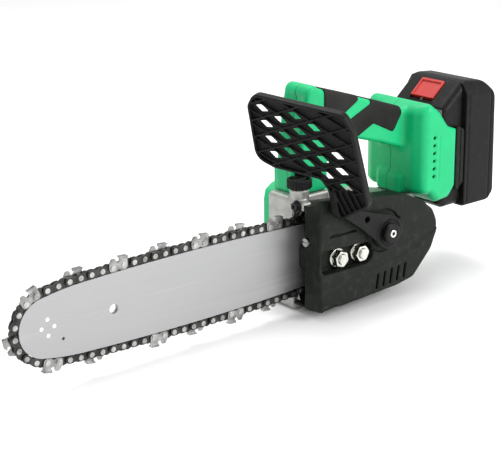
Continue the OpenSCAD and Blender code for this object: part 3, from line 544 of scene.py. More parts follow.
def body_solid(x, y, z):
    """The material of both shells together, with their posts, holes and the line beside the vents."""
    form = body_form(x, y, z)
    solid = carve(form, body_room(x, y, z, form), 0.4)
    lock_stop = rod(x, z, y, LOCK[[0, 2]], 3.6, 0.5, 13.5)
    posts = np.minimum(lock_stop, block(x, y, z, (4, -13.5, 158.2), (10, 13.5, 160)))
    for px, pz, half in SCREW_POSTS:
        posts = np.minimum(posts, rod(x, z, y, (px, pz), POST_RADIUS, -half, half))
    solid = np.minimum(solid, np.maximum(posts, form + 1))
    for px, pz, _ in SCREW_POSTS:
        solid = carve(solid, rod(x, z, y, (px, pz), SCREW_HOLE, -10, 9))
        solid = carve(solid, rod(x, z, y, (px, pz), HEAD_HOLE, 8, BODY_HALF + 2), 0.4)
    solid = carve(solid, rod(x, z, y, PIN[[0, 2]], 1.6, -15, 15))
    solid = carve(solid, rod(x, z, y, LOCK[[0, 2]], 4.4, -20, -13), 0.5)
    line = meet(between(x, VENT_LINE_X - 0.5, VENT_LINE_X + 0.5), between(z, 90, 132), 0.3)
    return carve(solid, meet(line, BODY_HALF - 0.9 - np.abs(y)), 0.3)


def half_shell(name, side):
    """side is -1 for the half that carries the sprocket cover, 1 for the other."""
    def solid(x, y, z):
        return meet(body_solid(x, y, z), -side * y, SEAM)
    reach = sorted((0, side * BODY_HALF))
    piece = surface(name, solid, (-53, reach[0], 68), (120, reach[1], 195), SHELL_STEP)
    return dress(piece, "root", GREEN, "green_plastic", name)


GRIP_THICKNESS = 1.2
FRONT_ZONE = rounded((-24, 205, 0), (-24, 172, 2), (-23, 152, 3), (-14, 152, 2), (-6.5, 160.4, 2),
                     (16.5, 173.6, 7), (14, 190, 2), (14, 205, 0))
REAR_ZONE = rounded((34, 200, 0), (66.5, 200, 0), (66.5, 153, 4), (57, 138, 3), (33, 149.5, 4),
                    (14, 140.5, 2), (-2, 143, 2), (0.5, 155, 2), (29.5, 167.5, 5))


def grip_skin(x, y, z, zone, grooves):
    """Rubber laid over the handle inside a zone of its side view."""
    form = body_form(x, y, z)
    zone_gap = flat(x, z, zone)
    skin = meet(form - GRIP_THICKNESS, zone_gap, 1.1)
    for depth in grooves:
        line = meet(np.abs(zone_gap + depth) - 0.35, x - 47)
        skin = carve(skin, meet(line, 0.6 * GRIP_THICKNESS - form), 0.3)
    skin = meet(skin, -1.6 - form)
    skin = carve(skin, rod(x, z, y, LOCK[[0, 2]], 6.6, -20, 0), 0.4)
    return carve(skin, block(x, y, z, (-14, -9, 120), (20, 9, 153)), 0.5)


def grips():
    """The two soft grips on top of the handle."""
    for name, zone, grooves, low, high in (
            ("front_grip", FRONT_ZONE, (), (-25, -18, 143), (20, 18, 192)),
            ("rear_grip", REAR_ZONE, (5.5, 7.5), (-4, -18, 131), (68, 18, 174))):
        def solid(x, y, z):
            return grip_skin(x, y, z, zone, grooves)
        dress(surface(name, solid, low, high, 0.8), "root", GRIP, "grip_rubber", name)


def bay_frame():
    """Dark frame round the battery bay, behind the green shells."""
    outer = rounded((117, 73, 3), (127.4, 84, 5), (127.4, 132.5, 3), (118.6, 137.5, 4), (117, 139, 2))
    def solid(x, y, z):
        frame_form = slab(x, y, z, outer, 0.9 - BODY_HALF, BODY_HALF - 0.9, 1)
        frame_form = carve(frame_form, block(x, y, z, (90, 3 - BODY_HALF, 60), (140, BODY_HALF - 3, 180)))
        groove = meet(between(x, 121.6, 122.8), BODY_HALF - 1.8 - np.abs(y))
        return carve(frame_form, groove, 0.3)
    piece = surface("bay_frame", solid, (117, -BODY_HALF, 70), (128, BODY_HALF, 140), 0.7)
    dress(piece, "root", COVER, "cover_plastic")


# ---- Trigger and lock button ----

def trigger():
    """Curved trigger with grooves for the finger."""
    side = rounded((18.6, 152, 1), (13, 152, 1), (11, 149, 3), (-9, 149, 3), (-11, 141, 4),
                   (-5, 131, 8), (2, 127, 3), (7, 131, 6), (12, 138, 6), (18.4, 140, 3))
    low, high = box_mm("trigger")
    def solid(x, y, z):
        form = slab(x, y, z, side, low[1], high[1], 1.6)
        for k in range(4):
            form = carve(form, rod(x, z, y, (-10.6 + 2.6 * k, 142 - 4 * k), 0.6, -4, 4), 0.3)
        return carve(form, rod(x, z, y, PIN[[0, 2]], 1.6, -8, 8), 0.3)
    dress(surface("trigger", solid, low, high, 0.6), "trigger", BLACK, "switch_plastic", "trigger")


def lock_button():
    """Dished button with the collar that keeps it in the shell."""
    low, high = box_mm("lock_button")
    centre = LOCK[[0, 2]]
    def solid(x, y, z):
        form = rod(x, z, y, centre, 4.15, low[1], high[1], 1)
        form = np.minimum(form, rod(x, z, y, centre, 5.5, low[1] + 6.4, low[1] + 8.4, 0.4))
        form = carve(form, np.hypot(np.hypot(x - centre[0], z - centre[1]), y - low[1] + 5.6) - 6.2, 0.5)
        return carve(form, rod(x, z, y, centre, 3, low[1] + 2.4, high[1] + 1))
    dress(surface("lock_button", solid, low, high, 0.45), "lock", BLACK, "switch_plastic", "lock_button")


# ---- Casting, motor housing and oil cap ----

CASE_SIDE = rounded((-60, 0, 6), (62, 0, 10), (86, 16, 12), (94, 40, 10), (92, 60, 8), (84, 79.3, 4),
                    (66, 79.3, 2), (36, 86.5, 6), (-18, 87, 2), (-19, 100, 2), (-60, 100, 4))
CASE_NEAR, CASE_FAR = -17.6, 15
PUMP_ROOM = rounded((-55, 5, 2), (20, 5, 2), (20, 20, 6), (8, 36, 6), (-55, 36, 2))
OIL_ROOM = rounded((-56, 63, 3), (-23, 63, 3), (-23, 96, 3), (-56, 96, 3))
DRIVE = middle("output_gear")[[0, 2]]


def casting():
    """Cast gear case with the screw's lug, the filler's neck and its inner rooms."""
    def solid(x, y, z):
        form = slab(x, y, z, CASE_SIDE, CASE_NEAR, CASE_FAR, 2)
        lug = block(x, y, z, (-60, -31, 91.2), (-50, -14, 98.6), 2)
        neck = rod(x, y, z, CAP[:2], 8.2, 97, 107.4, 0.5)
        form = join(join(form, lug, 2), neck, 1.5)
        for centre, radius, near in ((DRIVE, 24.5, -9.8), (MOTOR[[0, 2]], 9, -9.8), (DRIVE, 11.05, -16),
                                     (DRIVE, 7, -20)):
            form = carve(form, rod(x, z, y, centre, radius, near, CASE_FAR + 3))
        form = carve(form, slab(x, y, z, PUMP_ROOM, -13, CASE_FAR + 3), 0.4)
        form = carve(form, slab(x, y, z, OIL_ROOM, -13, 10))
        form = carve(form, rod(x, y, z, CAP[:2], 5.6, 90, 112))
        for stud in STUD_X:
            form = carve(form, rod(x, z, y, (stud, AXIS_Z), STUD_RADIUS + 0.05, -20, 8))
        for slot_y in (3, -6):
            vent = block(x, y, z, (-64, slot_y - 2.6, 77.6), (-57.6, slot_y + 2.6, 79.4), 0.4)
            form = carve(form, vent, 0.4)
        for rib_z in (14, 26, 38):
            form = carve(form, block(x, y, z, (-64, -12, rib_z), (-58.8, 10, rib_z + 5), 1), 0.6)
        return form
    low, high = box_mm("gear_case")
    low[1] = -31
    dress(surface("gear_case", solid, low, high, 1.0), "root", ALLOY, "cast_alloy", "gear_case")


HOUSING_SIDE = rounded((-57.5, 0, 4), (70, 0, 12), (94, 24, 14), (95, 60, 8), (62, 79, 8), (-16, 79, 6),
                       (-19, 98, 4), (-52, 98, 4), (-57.5, 90, 4))
HOUSING_ROOM = rounded((-54.5, 3, 2), (69, 3, 10), (91, 25, 12), (92, 58.2, 5), (61.2, 76, 6),
                       (-19, 76, 4), (-22, 95, 2), (-51, 95, 3), (-54.5, 90, 3))
HOUSING_PLAN = rounded((-57.5, 15, 0), (96, 15, 0), (96, 27, 5), (74, 31, 8), (60, 44, 10),
                       (50, 52, 10), (-8, 52, 12), (-36, 41, 12), (-57.5, 25, 6))
ROOM_PLAN = rounded((-54.5, 12, 0), (93, 12, 0), (93, 24.6, 3), (72.6, 28.2, 6), (57.8, 42, 8),
                    (48.8, 49, 8), (-8, 49, 10), (-34, 38, 10), (-54.5, 23.4, 3))


def motor_housing():
    """Thin housing over the motor, with a bearing seat, a round line and cooling slots."""
    low, high = box_mm("motor_housing")
    centre = MOTOR[[0, 2]]
    def solid(x, y, z):
        form = meet(flat(x, z, HOUSING_SIDE), flat(x, y, HOUSING_PLAN), 3)
        room = meet(slab(x, y, z, HOUSING_ROOM, low[1] - 2, high[1]), flat(x, y, ROOM_PLAN))
        form = carve(form, room, 0.4)
        form = np.minimum(form, rod(x, z, y, centre, 10.5, 47.2, 50))
        form = carve(form, rod(x, z, y, centre, 8.05, 47, 50.5))
        away = np.hypot(x - centre[0], z - centre[1])
        dish = meet(np.abs(away - 27) - 1, high[1] - 1.2 - y)
        form = carve(form, dish, 0.6)
        for k in range(-3, 4):
            slot_x = centre[0] + 5 * k
            form = carve(form, block(x, y, z, (slot_x - 1, 47, 16), (slot_x + 1, 56, 32), 0.5), 0.4)
        return form
    dress(surface("motor_housing", solid, low, high, 1.05), "root", GREEN, "green_plastic", "motor_housing")


def oil_cap():
    """Knurled cap with a bar to turn it by and a threaded stem."""
    low, high = box_mm("oil_cap")
    radius = (high[0] - low[0]) / 2 + 0.8
    centre = CAP[:2]
    skirt = low[2] + 9.2
    def solid(x, y, z):
        angle = np.arctan2(y - centre[1], x - centre[0])
        away = np.hypot(x - centre[0], y - centre[1])
        knurl = 0.45 * np.cos(24 * angle) - 0.45
        head = meet(away - radius - knurl, between(z, skirt, CAP_TOP), 1.2)
        dish = meet(away - radius + 2.6, CAP_TOP - 2 - z, 0.5)
        grip_bar = block(x, y, z, (centre[0] - 7, centre[1] - 1.6, skirt),
                         (centre[0] + 7, centre[1] + 1.6, CAP_TOP), 0.8)
        head = join(carve(head, dish, 0.5), grip_bar, 0.5)
        thread = 0.35 * np.cos(z * math.tau / 2.5 + angle) - 0.35
        stem = meet(away - 5.3 - thread, between(z, low[2], skirt + 1), 0.4)
        return np.minimum(head, stem)
    dress(surface("oil_cap", solid, low, high, 0.42), "cap", BLACK, "cap_plastic", "oil_cap")


def front_hex_screw():
    """Black hexagon screw with its washer on the casting's lug."""
    centre = (-24.0, 95.2)
    def solid(x, y, z):
        across, up = y - centre[0], z - centre[1]
        away = np.hypot(across, up)
        head = meet(hexagon(across, up, 3.6), between(x, -64.6, -60.4), 0.5)
        washer = meet(away - 5, between(x, -61.2, -59.9), 0.3)
        return carve(np.minimum(head, washer), meet(away - 1.6, x + 63.2), 0.3)
    piece = surface("front_hex_screw", solid, (-65, -30, 89), (-59.5, -18, 101), 0.4)
    dress(piece, "root", BLACK_SCREW, "black_screw")


# ---- Sprocket cover ----

COVER_FACE = rounded((-61.5, 8, 2), (-42, 9, 8), (28, 12.5, 10), (47, 16, 8), (69, 38, 14),
                     (78, 58, 12), (71, 73, 10), (56, 85, 10), (33, 94, 12), (-61.5, 107, 4))
COVER_BACK = rounded((-61.5, 6, 2), (-42, 7, 8), (48, 9, 8), (72, 18, 12), (89, 36, 14), (92, 60, 12),
                     (80, 75, 12), (52, 86.5, 14), (-61.5, 97, 3))
FACE_Y = COVER_LOW[1] + 7.5
COVER_PLAN = rounded((-61.5, FACE_Y, 3), (77, FACE_Y, 6), (92, -33, 8), (92, -10, 0), (-61.5, -10, 0))
SKIRT_Y = -33
COVER_WALL = 2.4
PANEL_RISE = 1.2
BOSS_RADIUS, BOSS_BORE = 7, 2.2
LOWER_SLOTS, SLOT_WIDTH, SLOT_HEIGHT, SLOT_LEAN = 5, 2.3, 14, -9
FIRST_SLOT = np.array((1.5, 15))
NEXT_SLOT = np.array((8.1, 0.75))
NUT_ROOM = rounded((-59, 40.5, 5), (-1, 40.5, 9), (-1, 59.5, 9), (-59, 62, 5))
NUT_PAD = rounded((-58, 39, 4), (2, 39, 9), (2, 61, 9), (-58, 61, 4))
NUT_WALL = rounded((-61, 38, 5), (1, 38, 9), (1, 62, 9), (-61, 64, 5))
LOWER_PANEL = rounded((-70, 25.3, 0), (47, 40.4, 20), (74, 54.9, 12), (110, 84, 0), (110, -20, 0),
                      (-70, -20, 0))


def cover_bulk(x, y, z, depth):
    """The cover's outside, or its room at a depth below it. Its side view shrinks towards the face."""
    part = np.clip((y - SKIRT_Y) / (FACE_Y - SKIRT_Y), 0, 1)
    side = part * flat(x, z, COVER_FACE) + (1 - part) * flat(x, z, COVER_BACK) + depth
    side = meet(side, between(y, COVER_LOW[1] - 9, CASE_NEAR - 0.2 + depth))
    edge = 2.0 if depth == 0 else 0.0
    return meet(side, flat(x, y, COVER_PLAN) + depth, edge)


def sprocket_cover():
    """Cover with the nuts' pocket, the guard's boss, slots and a raised lower panel."""
    slot = rounded((-50, 71.6, 0.9), (-20, 72.1, 0.9), (-20, 74.1, 0.9), (-50, 73.6, 0.9), steps=4)
    foot = rounded((-58, 1, 2), (-40, 1, 2), (-40, 12, 3), (-58, 14, 3))
    def solid(x, y, z):
        form = cover_bulk(x, y, z, 0)
        raised = meet(flat(x, z, LOWER_PANEL), flat(x, z, COVER_FACE) + 0.6)
        raised = meet(raised, flat(x, y, COVER_PLAN) - PANEL_RISE, 0.3)
        raised = meet(raised, y + 36)
        form = np.minimum(form, raised)
        form = carve(form, cover_bulk(x, y, z, COVER_WALL))
        form = carve(form, block(x, y, z, (-70, -34, -1), (-59, -10, 98)), 0.5)
        form = carve(form, slab(x, y, z, NUT_ROOM, FACE_Y - 6, -46), 1.0)
        form = np.minimum(form, slab(x, y, z, NUT_PAD, -43.7, -23.35))
        nut_wall = slab(x, y, z, NUT_WALL, FACE_Y + 0.6, -43.7)
        nut_wall = carve(nut_wall, slab(x, y, z, NUT_ROOM, FACE_Y - 6, -43))
        form = np.minimum(form, nut_wall)
        screw_way = np.hypot(y - TENSIONER[0][1] - 3.6, z - middle("tensioner_screw")[2]) - 4
        form = carve(form, meet(screw_way, between(x, -70, -58)), 0.6)
        boss = rod(x, z, y, PIVOT, BOSS_RADIUS, COVER_LOW[1], -52, 0.6)
        form = np.minimum(form, boss)
        away = np.hypot(x - PIVOT[0], z - PIVOT[1])
        moat = meet(np.abs(away - 17.6) - 1.1, between(y, FACE_Y - 2, FACE_Y + 1.5))
        form = carve(form, moat, 0.5)
        for stud in STUD_X:
            form = carve(form, rod(x, z, y, (stud, AXIS_Z), STUD_RADIUS + 0.4, -60, -20))
        form = carve(form, rod(x, z, y, PIVOT, BOSS_BORE, -62, -50))
        for k in range(LOWER_SLOTS):
            across, up = turned(x, z, FIRST_SLOT + k * NEXT_SLOT, SLOT_LEAN)
            lower_slot = meet(between(across, 0, SLOT_WIDTH), between(up, 0, SLOT_HEIGHT), 0.9)
            form = carve(form, meet(lower_slot, y + 47), 0.3)
        form = carve(form, slab(x, y, z, slot, FACE_Y - 2, FACE_Y + 1.9), 0.3)
        return carve(form, slab(x, y, z, foot, FACE_Y - 2, FACE_Y + 1.6), 0.8)
    piece = surface("sprocket_cover", solid, COVER_LOW, COVER_HIGH, 0.9)
    dress(piece, "root", COVER, "cover_plastic", "sprocket_cover")


NUT_HALF = 6.5
FLANGE_RADIUS = 8.7


def bar_nuts():
    """Flanged nuts with turned faces; the stud ends show inside them."""
    low, high = NUTS
    for i, stud in enumerate(STUD_X):
        def solid(x, y, z):
            across, up = turned(x, z, (stud, AXIS_Z), 12 + 21 * i)
            away = np.hypot(across, up)
            cone = away - 7.9 + 0.6 * np.maximum(low[1] + 1.6 - y, 0)
            head = meet(hexagon(across, up, NUT_HALF), cone, 0.3)
            head = meet(head, between(y, low[1], high[1] - 1), 0.3)
            rim = away - FLANGE_RADIUS + 0.35 * np.maximum(high[1] - 1.2 - y, 0)
            flange = meet(rim, between(y, high[1] - 2.6, high[1]), 0.3)
            form = join(head, flange, 0.5)
            mouth = away - STUD_RADIUS - 0.03 - np.maximum(low[1] + 0.7 - y, 0)
            return carve(form, mouth)
        start, end = (stud - 9, low[1], AXIS_Z - 9), (stud + 9, high[1], AXIS_Z + 9)
        piece = surface(f"bar_nut_{i}", solid, start, end, 0.4)
        dress(piece, "root", ZINC, "zinc", *(["bar_nuts"] if i == 0 else []))


# ---- Hand guard ----

GUARD_T = 7
PLATE_AT = np.array((-60.1, -21, 110))
TILT, SWEEP = math.radians(90 + 13.6), math.radians(14 - 90)
PLATE_ACROSS = np.array((math.cos(SWEEP), math.sin(SWEEP), 0))
PLATE_UP = np.array((-math.sin(SWEEP) * math.cos(TILT), math.cos(SWEEP) * math.cos(TILT), math.sin(TILT)))
PLATE_OUT = np.array((math.sin(SWEEP) * math.sin(TILT), -math.cos(SWEEP) * math.sin(TILT), math.cos(TILT)))
GUARD_OUTLINE = rounded((-34, 24, 12), (-16, 17.5, 6), (30, 14.5, 5), (36.6, 4, 3), (36.5, -19, 3),
                        (46, -19.5, 4), (73.5, -3, 6), (67, 63, 8), (60, 76.5, 9), (-26, 83.5, 10),
                        (-34, 72, 8))
ARM_OUTLINE = rounded((-54, 97, 3), (-43, 91, 3), (-20, 75, 8), (-2, 60, 8), (10, 52, 8), (24, 62, 8),
                      (18, 80, 8), (-6, 86.5, 10), (-39, 97, 6), (-50, 103, 3))
ARM_HOLES = [(-33.6, 92.4), (-14.3, 82.3)]
WEB = (-1.4, -0.1)
RIM = 2.4
LONG_RIB, CROSS_RIB = (0.7, 3.1), (0.6, 2.6)
FIN_STEP = 6.4
NEXT_COLUMN = np.array((15.0, 5.65))
NEXT_ROW = np.array((2.2, -13.8))
FIRST_WINDOW = np.array((-21.5, 69.9))
WINDOW_ROWS = ((0, 3), (1, 3), (1, 4), (2, 5), (4, 6))
WINDOW = rounded((-6.4, 2.1, 0.3), (0.4, 3.1, 0.3), (6.4, -2.1, 0.3), (-0.4, -3.1, 0.3), steps=2)


def on_plate(x, y, z):
    """Coordinates on the guard's plate: across to the near side, up, and out to the front."""
    dx, dy, dz = x - PLATE_AT[0], y - PLATE_AT[1], z - PLATE_AT[2]
    return [dx * e[0] + dy * e[1] + dz * e[2] for e in (PLATE_ACROSS, PLATE_UP, PLATE_OUT)]


def window_centres():
    for column, (first, last) in enumerate(WINDOW_ROWS):
        for row in range(first, last + 1):
            yield FIRST_WINDOW + column * NEXT_COLUMN + row * NEXT_ROW


def rib_gap(across, up):
    """Distances to the nearest rib between the rows of windows, and to the nearest across them."""
    area = NEXT_COLUMN[0] * NEXT_ROW[1] - NEXT_COLUMN[1] * NEXT_ROW[0]
    dx, dy = across - FIRST_WINDOW[0], up - FIRST_WINDOW[1]
    column = (dx * NEXT_ROW[1] - dy * NEXT_ROW[0]) / area
    row = (NEXT_COLUMN[0] * dy - NEXT_COLUMN[1] * dx) / area
    to_rib = [np.abs(v - 0.5 - np.round(v - 0.5)) * abs(area) for v in (row, row - column)]
    return to_rib[0] / np.linalg.norm(NEXT_COLUMN), to_rib[1] / np.linalg.norm(NEXT_COLUMN + NEXT_ROW)


def guard_plate(across, up, out):
    """Thin web with windows and ribs inside a deep rim, and fins at its foot."""
    half = GUARD_T / 2
    edge = flat(across, up, GUARD_OUTLINE)
    plate = meet(edge, between(out, -half, half), 1.2)
    inner = edge + RIM
    plate = carve(plate, meet(inner, WEB[1] - out, 0.6), 0.5)
    plate = carve(plate, meet(inner, out - WEB[0], 0.6), 0.5)
    along_rows, across_rows = rib_gap(across, up)
    ribs = np.minimum(meet(along_rows - LONG_RIB[0], out - LONG_RIB[1], 0.3),
                      meet(across_rows - CROSS_RIB[0], out - CROSS_RIB[1], 0.3))
    ribs = meet(meet(ribs, inner - 0.5), meet(WEB[0] - out, 6 - up))
    plate = join(plate, ribs, 0.2)
    for centre in window_centres():
        plate = carve(plate, flat(across - centre[0], up - centre[1], WINDOW), 0.3)
    lean = (across + 0.42 * up - 31) / FIN_STEP
    fin = np.abs(lean - np.clip(np.round(lean), 0, 5)) * FIN_STEP * 0.9 - 0.7
    fins = meet(meet(fin, out - 3.4, 0.4), meet(meet(inner - 0.5, up - 8), WEB[0] - out))
    return np.minimum(plate, fins)


def guard_hub(x, y, z):
    """Ring round the pivot, with its raised lip and the tab that meets the stop."""
    across, up = x - PIVOT[0], z - PIVOT[1]
    away = np.hypot(across, up)
    ring = meet(away - 15, between(y, COVER_LOW[1] + 1.2, -54), 0.8)
    lip = meet(np.abs(away - 12.9) - 1.1, between(y, COVER_LOW[1], -58), 0.5)
    sector = between(np.arctan2(up, across), math.radians(5), math.radians(40)) * away
    tab = meet(sector, meet(away - 18, between(y, COVER_LOW[1] + 0.4, -55.5), 0.5), 0.5)
    hub = np.minimum(join(ring, lip, 0.5), tab)
    return carve(hub, meet(np.abs(away - 9.9) - 1.3, y + 58.2), 0.4)


def hand_guard():
    """The plate, the neck behind it and the arm with its hub."""
    def solid(x, y, z):
        across, up, out = on_plate(x, y, z)
        plate = guard_plate(across, up, out)
        neck = meet(between(across, 36.6, 43.6), between(up, -17, 6), 1.2)
        neck = meet(neck, between(out, -GUARD_T / 2, 4.5), 1.2)
        arm = slab(x, y, z, ARM_OUTLINE, -60.2, -54.4, 0.8)
        for centre in ARM_HOLES:
            arm = carve(arm, rod(x, z, y, centre, 2.8, -62, -53), 0.4)
        form = join(join(plate, neck, 1.0), join(arm, guard_hub(x, y, z), 0.8), 1.2)
        return carve(form, rod(x, z, y, PIVOT, 7.1, -63, -53))
    low, high = box_mm("hand_guard")
    piece = surface("hand_guard", solid, low - 1, high + 1, 0.75)
    dress(piece, "guard", GUARD, "cover_plastic", "hand_guard")


def guard_screw():
    """Domed black cap over the pivot, with a bright socket screw in its end."""
    cap_y = PIVOT_TIP
    def cap(x, y, z):
        away = np.hypot(x - PIVOT[0], z - PIVOT[1])
        dome = meet(away - 9, between(y, cap_y + 0.3, -61.4), 2.2)
        dome = carve(dome, meet(away - 3.9, between(y, cap_y - 2, cap_y + 1.4)), 0.4)
        return np.minimum(dome, meet(away - 2.15, between(y, cap_y + 1, -54.5)))
    def screw(x, y, z):
        across, up = x - PIVOT[0], z - PIVOT[1]
        head = meet(np.hypot(across, up) - 3.5, between(y, cap_y, cap_y + 2.4), 0.5)
        return carve(head, meet(hexagon(across, up, 1.5), y - cap_y - 1.5), 0.2)
    low = (PIVOT[0] - 10, cap_y - 0.5, PIVOT[1] - 10)
    high = (PIVOT[0] + 10, -54, PIVOT[1] + 10)
    dress(surface("guard_cap", cap, low, high, 0.45), "root", BLACK, "cap_plastic", "guard_screw")
    low = (PIVOT[0] - 4, cap_y, PIVOT[1] - 4)
    high = (PIVOT[0] + 4, cap_y + 3, PIVOT[1] + 4)
    dress(surface("guard_cap_screw", screw, low, high, 0.3), "root", ZINC, "zinc")


# ---- Battery ----

SLOPE = 40.6
LATCH_MID = (116.3, 165)
SEAM_X = 127.75
FRONT_CASE_SIDE = rounded((100.2, 66, 4), (108, 61, 4), (150, 62, 0), (150, 193.7, 0), (104, 154.5, 3),
                          (100.2, 148, 4))
FRONT_CASE_ROOM = rounded((103, 70, 2), (109, 64, 2), (132, 64, 0), (132, 173.6, 0), (106, 151.6, 2),
                          (103, 146, 2))
REAR_CASE_SIDE = rounded((110, 60, 0), (161, 60, 8), (168, 68, 8), (166, 160, 12), (155, 173.4, 14),
                         (134, 176, 5), (110, 168.5, 0))
REAR_CASE_END = rounded((-37.5, 59, 4), (37.5, 59, 4), (37.5, 165, 8), (30, 176.5, 9), (-30, 176.5, 9),
                        (-37.5, 165, 8))
REAR_CASE_ROOM = rounded((120, 63, 0), (158, 63, 8), (164, 72, 6), (164, 158, 10), (154, 171, 10),
                         (134, 173.4, 3), (120, 168, 0))


def on_slope(x, z):
    """Coordinates along and out of the sloping top of the battery's head."""
    return turned(x, z, LATCH_MID, SLOPE)


def battery():
    """Front case with the latch's pocket, and rear case with its seam and ribs."""
    def front(x, y, z):
        form = slab(x, y, z, FRONT_CASE_SIDE, -32.6, 32.6, 7)
        form = meet(form, x - SEAM_X, 0.3)
        form = carve(form, slab(x, y, z, FRONT_CASE_ROOM, -29.6, 29.6), 0.3)
        along, out = on_slope(x, z)
        pocket = meet(meet(between(along, -13.6, 15.4), between(y, -15.2, 15.2)), between(out, -4.4, -1))
        form = np.minimum(form, meet(pocket, meet(between(x, 100, 127.7), between(z, 140, 180))))
        rim = meet(meet(between(along, -13.6, 12.8), between(y, -15.3, 15.3), 1), between(out, -2, 0.6), 0.5)
        form = np.minimum(form, meet(rim, x - SEAM_X))
        for slot_y in (-10, 0, 10):
            form = carve(form, block(x, y, z, (96, slot_y - 1.1, 50), (107, slot_y + 1.1, 121)), 0.3)
        opening = meet(between(along, -12.2, 11.2), between(y, -13.8, 13.8), 0.6)
        return carve(form, meet(opening, between(out, -2.5, 6)), 0.3)
    low, high = box_mm("battery_front_case")
    piece = surface("battery_front_case", front, low, high + (0, 0, 1), 0.9)
    dress(piece, "battery", BATTERY, "battery_plastic", "battery_front_case")

    def rear(x, y, z):
        form = meet(flat(x, z, REAR_CASE_SIDE), flat(y, z, REAR_CASE_END), 2)
        form = meet(form, SEAM_X + 0.02 - x, 0.3)
        for groove_x, width in ((131.4, 0.7), (160.2, 0.5)):
            groove = meet(between(x, groove_x - width, groove_x + width), BODY_HALF - 0.9 - np.abs(y))
            form = carve(form, groove, 0.4)
        for k in range(4):
            rib = meet(between(y, -24 + 13 * k, -15 + 13 * k), between(z, 78, 150), 2)
            form = carve(form, meet(rib, 166.2 - x), 0.5)
        room = slab(x, y, z, REAR_CASE_ROOM, 2 - BODY_HALF, BODY_HALF - 2)
        room = meet(room, flat(y, z, REAR_CASE_END) + 2)
        flange = meet(x - 129.8, 31 - np.abs(y))
        return carve(form, carve(room, flange))
    low, high = box_mm("battery_rear_case")
    piece = surface("battery_rear_case", rear, low, high, 1.0)
    dress(piece, "battery", BATTERY, "battery_plastic", "battery_rear_case")


def latch_button():
    """Release latch with a dish for the thumb."""
    def solid(x, y, z):
        along, out = on_slope(x, z)
        outline = meet(between(along, -9.6, 11), between(y, -13.6, 13.6), 0.8)
        inner = meet(between(along, -8.2, 8.2), between(y, -11.8, 11.8), 0.8)
        plate = meet(outline, between(out, -2.4, 1.0), 0.4)
        rim = carve(meet(outline, between(out, 0, 2.1), 0.4), inner, 0.3)
        dish = meet(inner, between(out, 0.7, 5))
        form = carve(np.minimum(plate, rim), dish, 0.3)
        return carve(form, meet(np.hypot(y, out + 1.1) - 1.1, between(along, -12, -4.5)))
    low, high = box_mm("latch_button")
    piece = surface("latch_button", solid, low - 1, high + 1, 0.45)
    dress(piece, "latch", RED, "red_plastic", "latch_button")


# ---- CAD nodes that keep their shape ----

KEPT = {
    BAR: ("bar_near_sheet", "bar_far_sheet"),
    CORE: ("bar_core",),
    CHAIN: ("chain_drive_links", "chain_tie_straps"),
    CUTTER: ("chain_cutters",),
    RIVET: ("chain_rivets", "trigger_pin"),
    NOSE_RIVET: ("nose_rivets",),
    SPROCKET: ("nose_sprocket", "nose_hub", "drive_sprocket", "output_gear"),
    SHAFT: ("output_shaft", "rotor", "sprocket_clip", "output_bearings", "motor_bearings"),
    ZINC: ("bar_studs", "tensioner_screw", "case_screws", "shell_screws"),
    SPRING: ("trigger_spring", "lock_spring", "latch_spring"),
    BLACK_SCREW: ("tensioner_block",),
    COPPER: ("stator",),
    ALLOY: ("gear_cover", "oil_pump"),
    BLACK: ("motor_fan", "terminal_block"),
    SEAL: ("oil_cap_seal",),
    TANK: ("oil_tank",),
    SWITCH: ("switch_body", "battery_rails"),
    WHITE: ("switch_plunger",),
    BOARD: ("control_board", "battery_board"),
    CELL: ("battery_cells",),
}
BEVEL = {"bar_near_sheet": 0.25, "bar_far_sheet": 0.25, "chain_tie_straps": 0.16, "chain_cutters": 0.12,
         "chain_rivets": 0.2, "nose_rivets": 0.15, "chain_drive_links": 0.12, "bar_studs": 0.5,
         "tensioner_screw": 0.3, "output_gear": 0.2, "drive_sprocket": 0.2, "oil_cap_seal": 0.3}


def kept_nodes():
    """Gives the CAD pieces that keep their shape a material, and fine bevels to those that show edges."""
    for material, names in KEPT.items():
        for name in names:
            node = NODES[name]
            node.data.materials.clear()
            node.data.materials.append(material)
            if name in BEVEL:
                bevel = node.modifiers.new("bevel", "BEVEL")
                bevel.width = BEVEL[name] * MM
                bevel.segments = 2
                bevel.limit_method = "ANGLE"
                bevel.angle_limit = math.radians(40)


# ---- Floor, light and camera ----

WORLD_STRENGTH = 0.8
LAMPS = (("key", (0.7, -1.5, 0.9), 0.8, 20),
         ("fill", (-1.5, -0.9, 0.9), 1.0, 2),
         ("top", (0.1, 0.5, 1.8), 1.2, 22))
LAMP_AIM = (-0.05, 0, 0.08)
CAMERA_AT = (-0.73148, -0.80841, 0.40916)
AZIMUTH, ELEVATION, ROLL = math.radians(-38.36), math.radians(17.73), math.radians(-0.815)
SENSOR, LENS = 36, 93.59


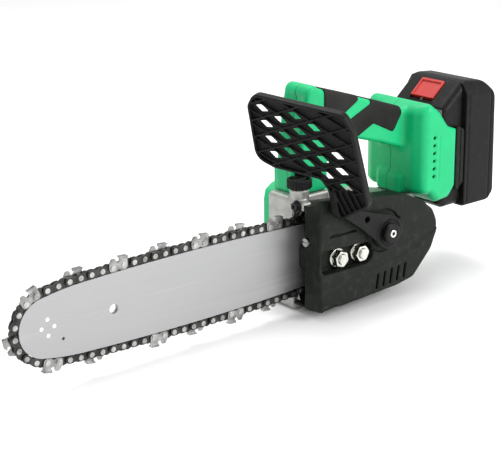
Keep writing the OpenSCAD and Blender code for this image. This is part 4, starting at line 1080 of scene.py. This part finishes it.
def studio():
    """Pale floor, white surroundings and three soft lamps."""
    bpy.context.scene.view_settings.view_transform = "Standard"
    floor = bpy.data.meshes.new("floor")
    reach = 12.0
    corners = [(-reach, -reach, 0), (reach, -reach, 0), (reach, reach, 0), (-reach, reach, 0)]
    floor.from_pydata(corners, [], [(0, 1, 2, 3)])
    ground = bpy.data.objects.new("floor", floor)
    ground.location.z = float(cad_box[0][2]) - 0.0002
    bpy.context.scene.collection.objects.link(ground)
    s = Shader("floor", specular=0.1)
    colour = s.mix(s.ramp(s.noise(3, 2), 0.3, 0.7, 0.0, 0.15), srgb(250, 250, 250), srgb(244, 244, 245))
    rough = s.ramp(s.noise(30, 2), 0.3, 0.7, 0.55, 0.7)
    floor.materials.append(s.finish(colour, rough, s.noise(400, 2), 0.01))
    world = bpy.data.worlds.new("world")
    bpy.context.scene.world = world
    world.use_nodes = True
    world.node_tree.nodes["Background"].inputs[0].default_value = (1, 1, 1, 1)
    world.node_tree.nodes["Background"].inputs[1].default_value = WORLD_STRENGTH
    for name, place, size, power in LAMPS:
        light = bpy.data.lights.new(name, "AREA")
        light.size = size
        light.energy = power
        lamp = bpy.data.objects.new(name, light)
        lamp.location = place
        lamp.rotation_euler = (Vector(LAMP_AIM) - Vector(place)).to_track_quat("-Z", "Y").to_euler()
        bpy.context.scene.collection.objects.link(lamp)


def camera():
    """The main view."""
    data = bpy.data.cameras.new("camera")
    data.sensor_width = SENSOR
    data.lens = LENS
    lens = bpy.data.objects.new("camera", data)
    turn = Matrix.Rotation(AZIMUTH, 4, "Z") @ Matrix.Rotation(math.pi / 2 - ELEVATION, 4, "X")
    lens.matrix_world = Matrix.Translation(CAMERA_AT) @ turn @ Matrix.Rotation(ROLL, 4, "Z")
    bpy.context.scene.collection.objects.link(lens)
    bpy.context.scene.camera = lens


camera()
half_shell("near_shell", -1)
half_shell("far_shell", 1)
grips()
bay_frame()
trigger()
lock_button()
casting()
motor_housing()
oil_cap()
front_hex_screw()
sprocket_cover()
bar_nuts()
hand_guard()
guard_screw()
battery()
latch_button()
kept_nodes()
studio()
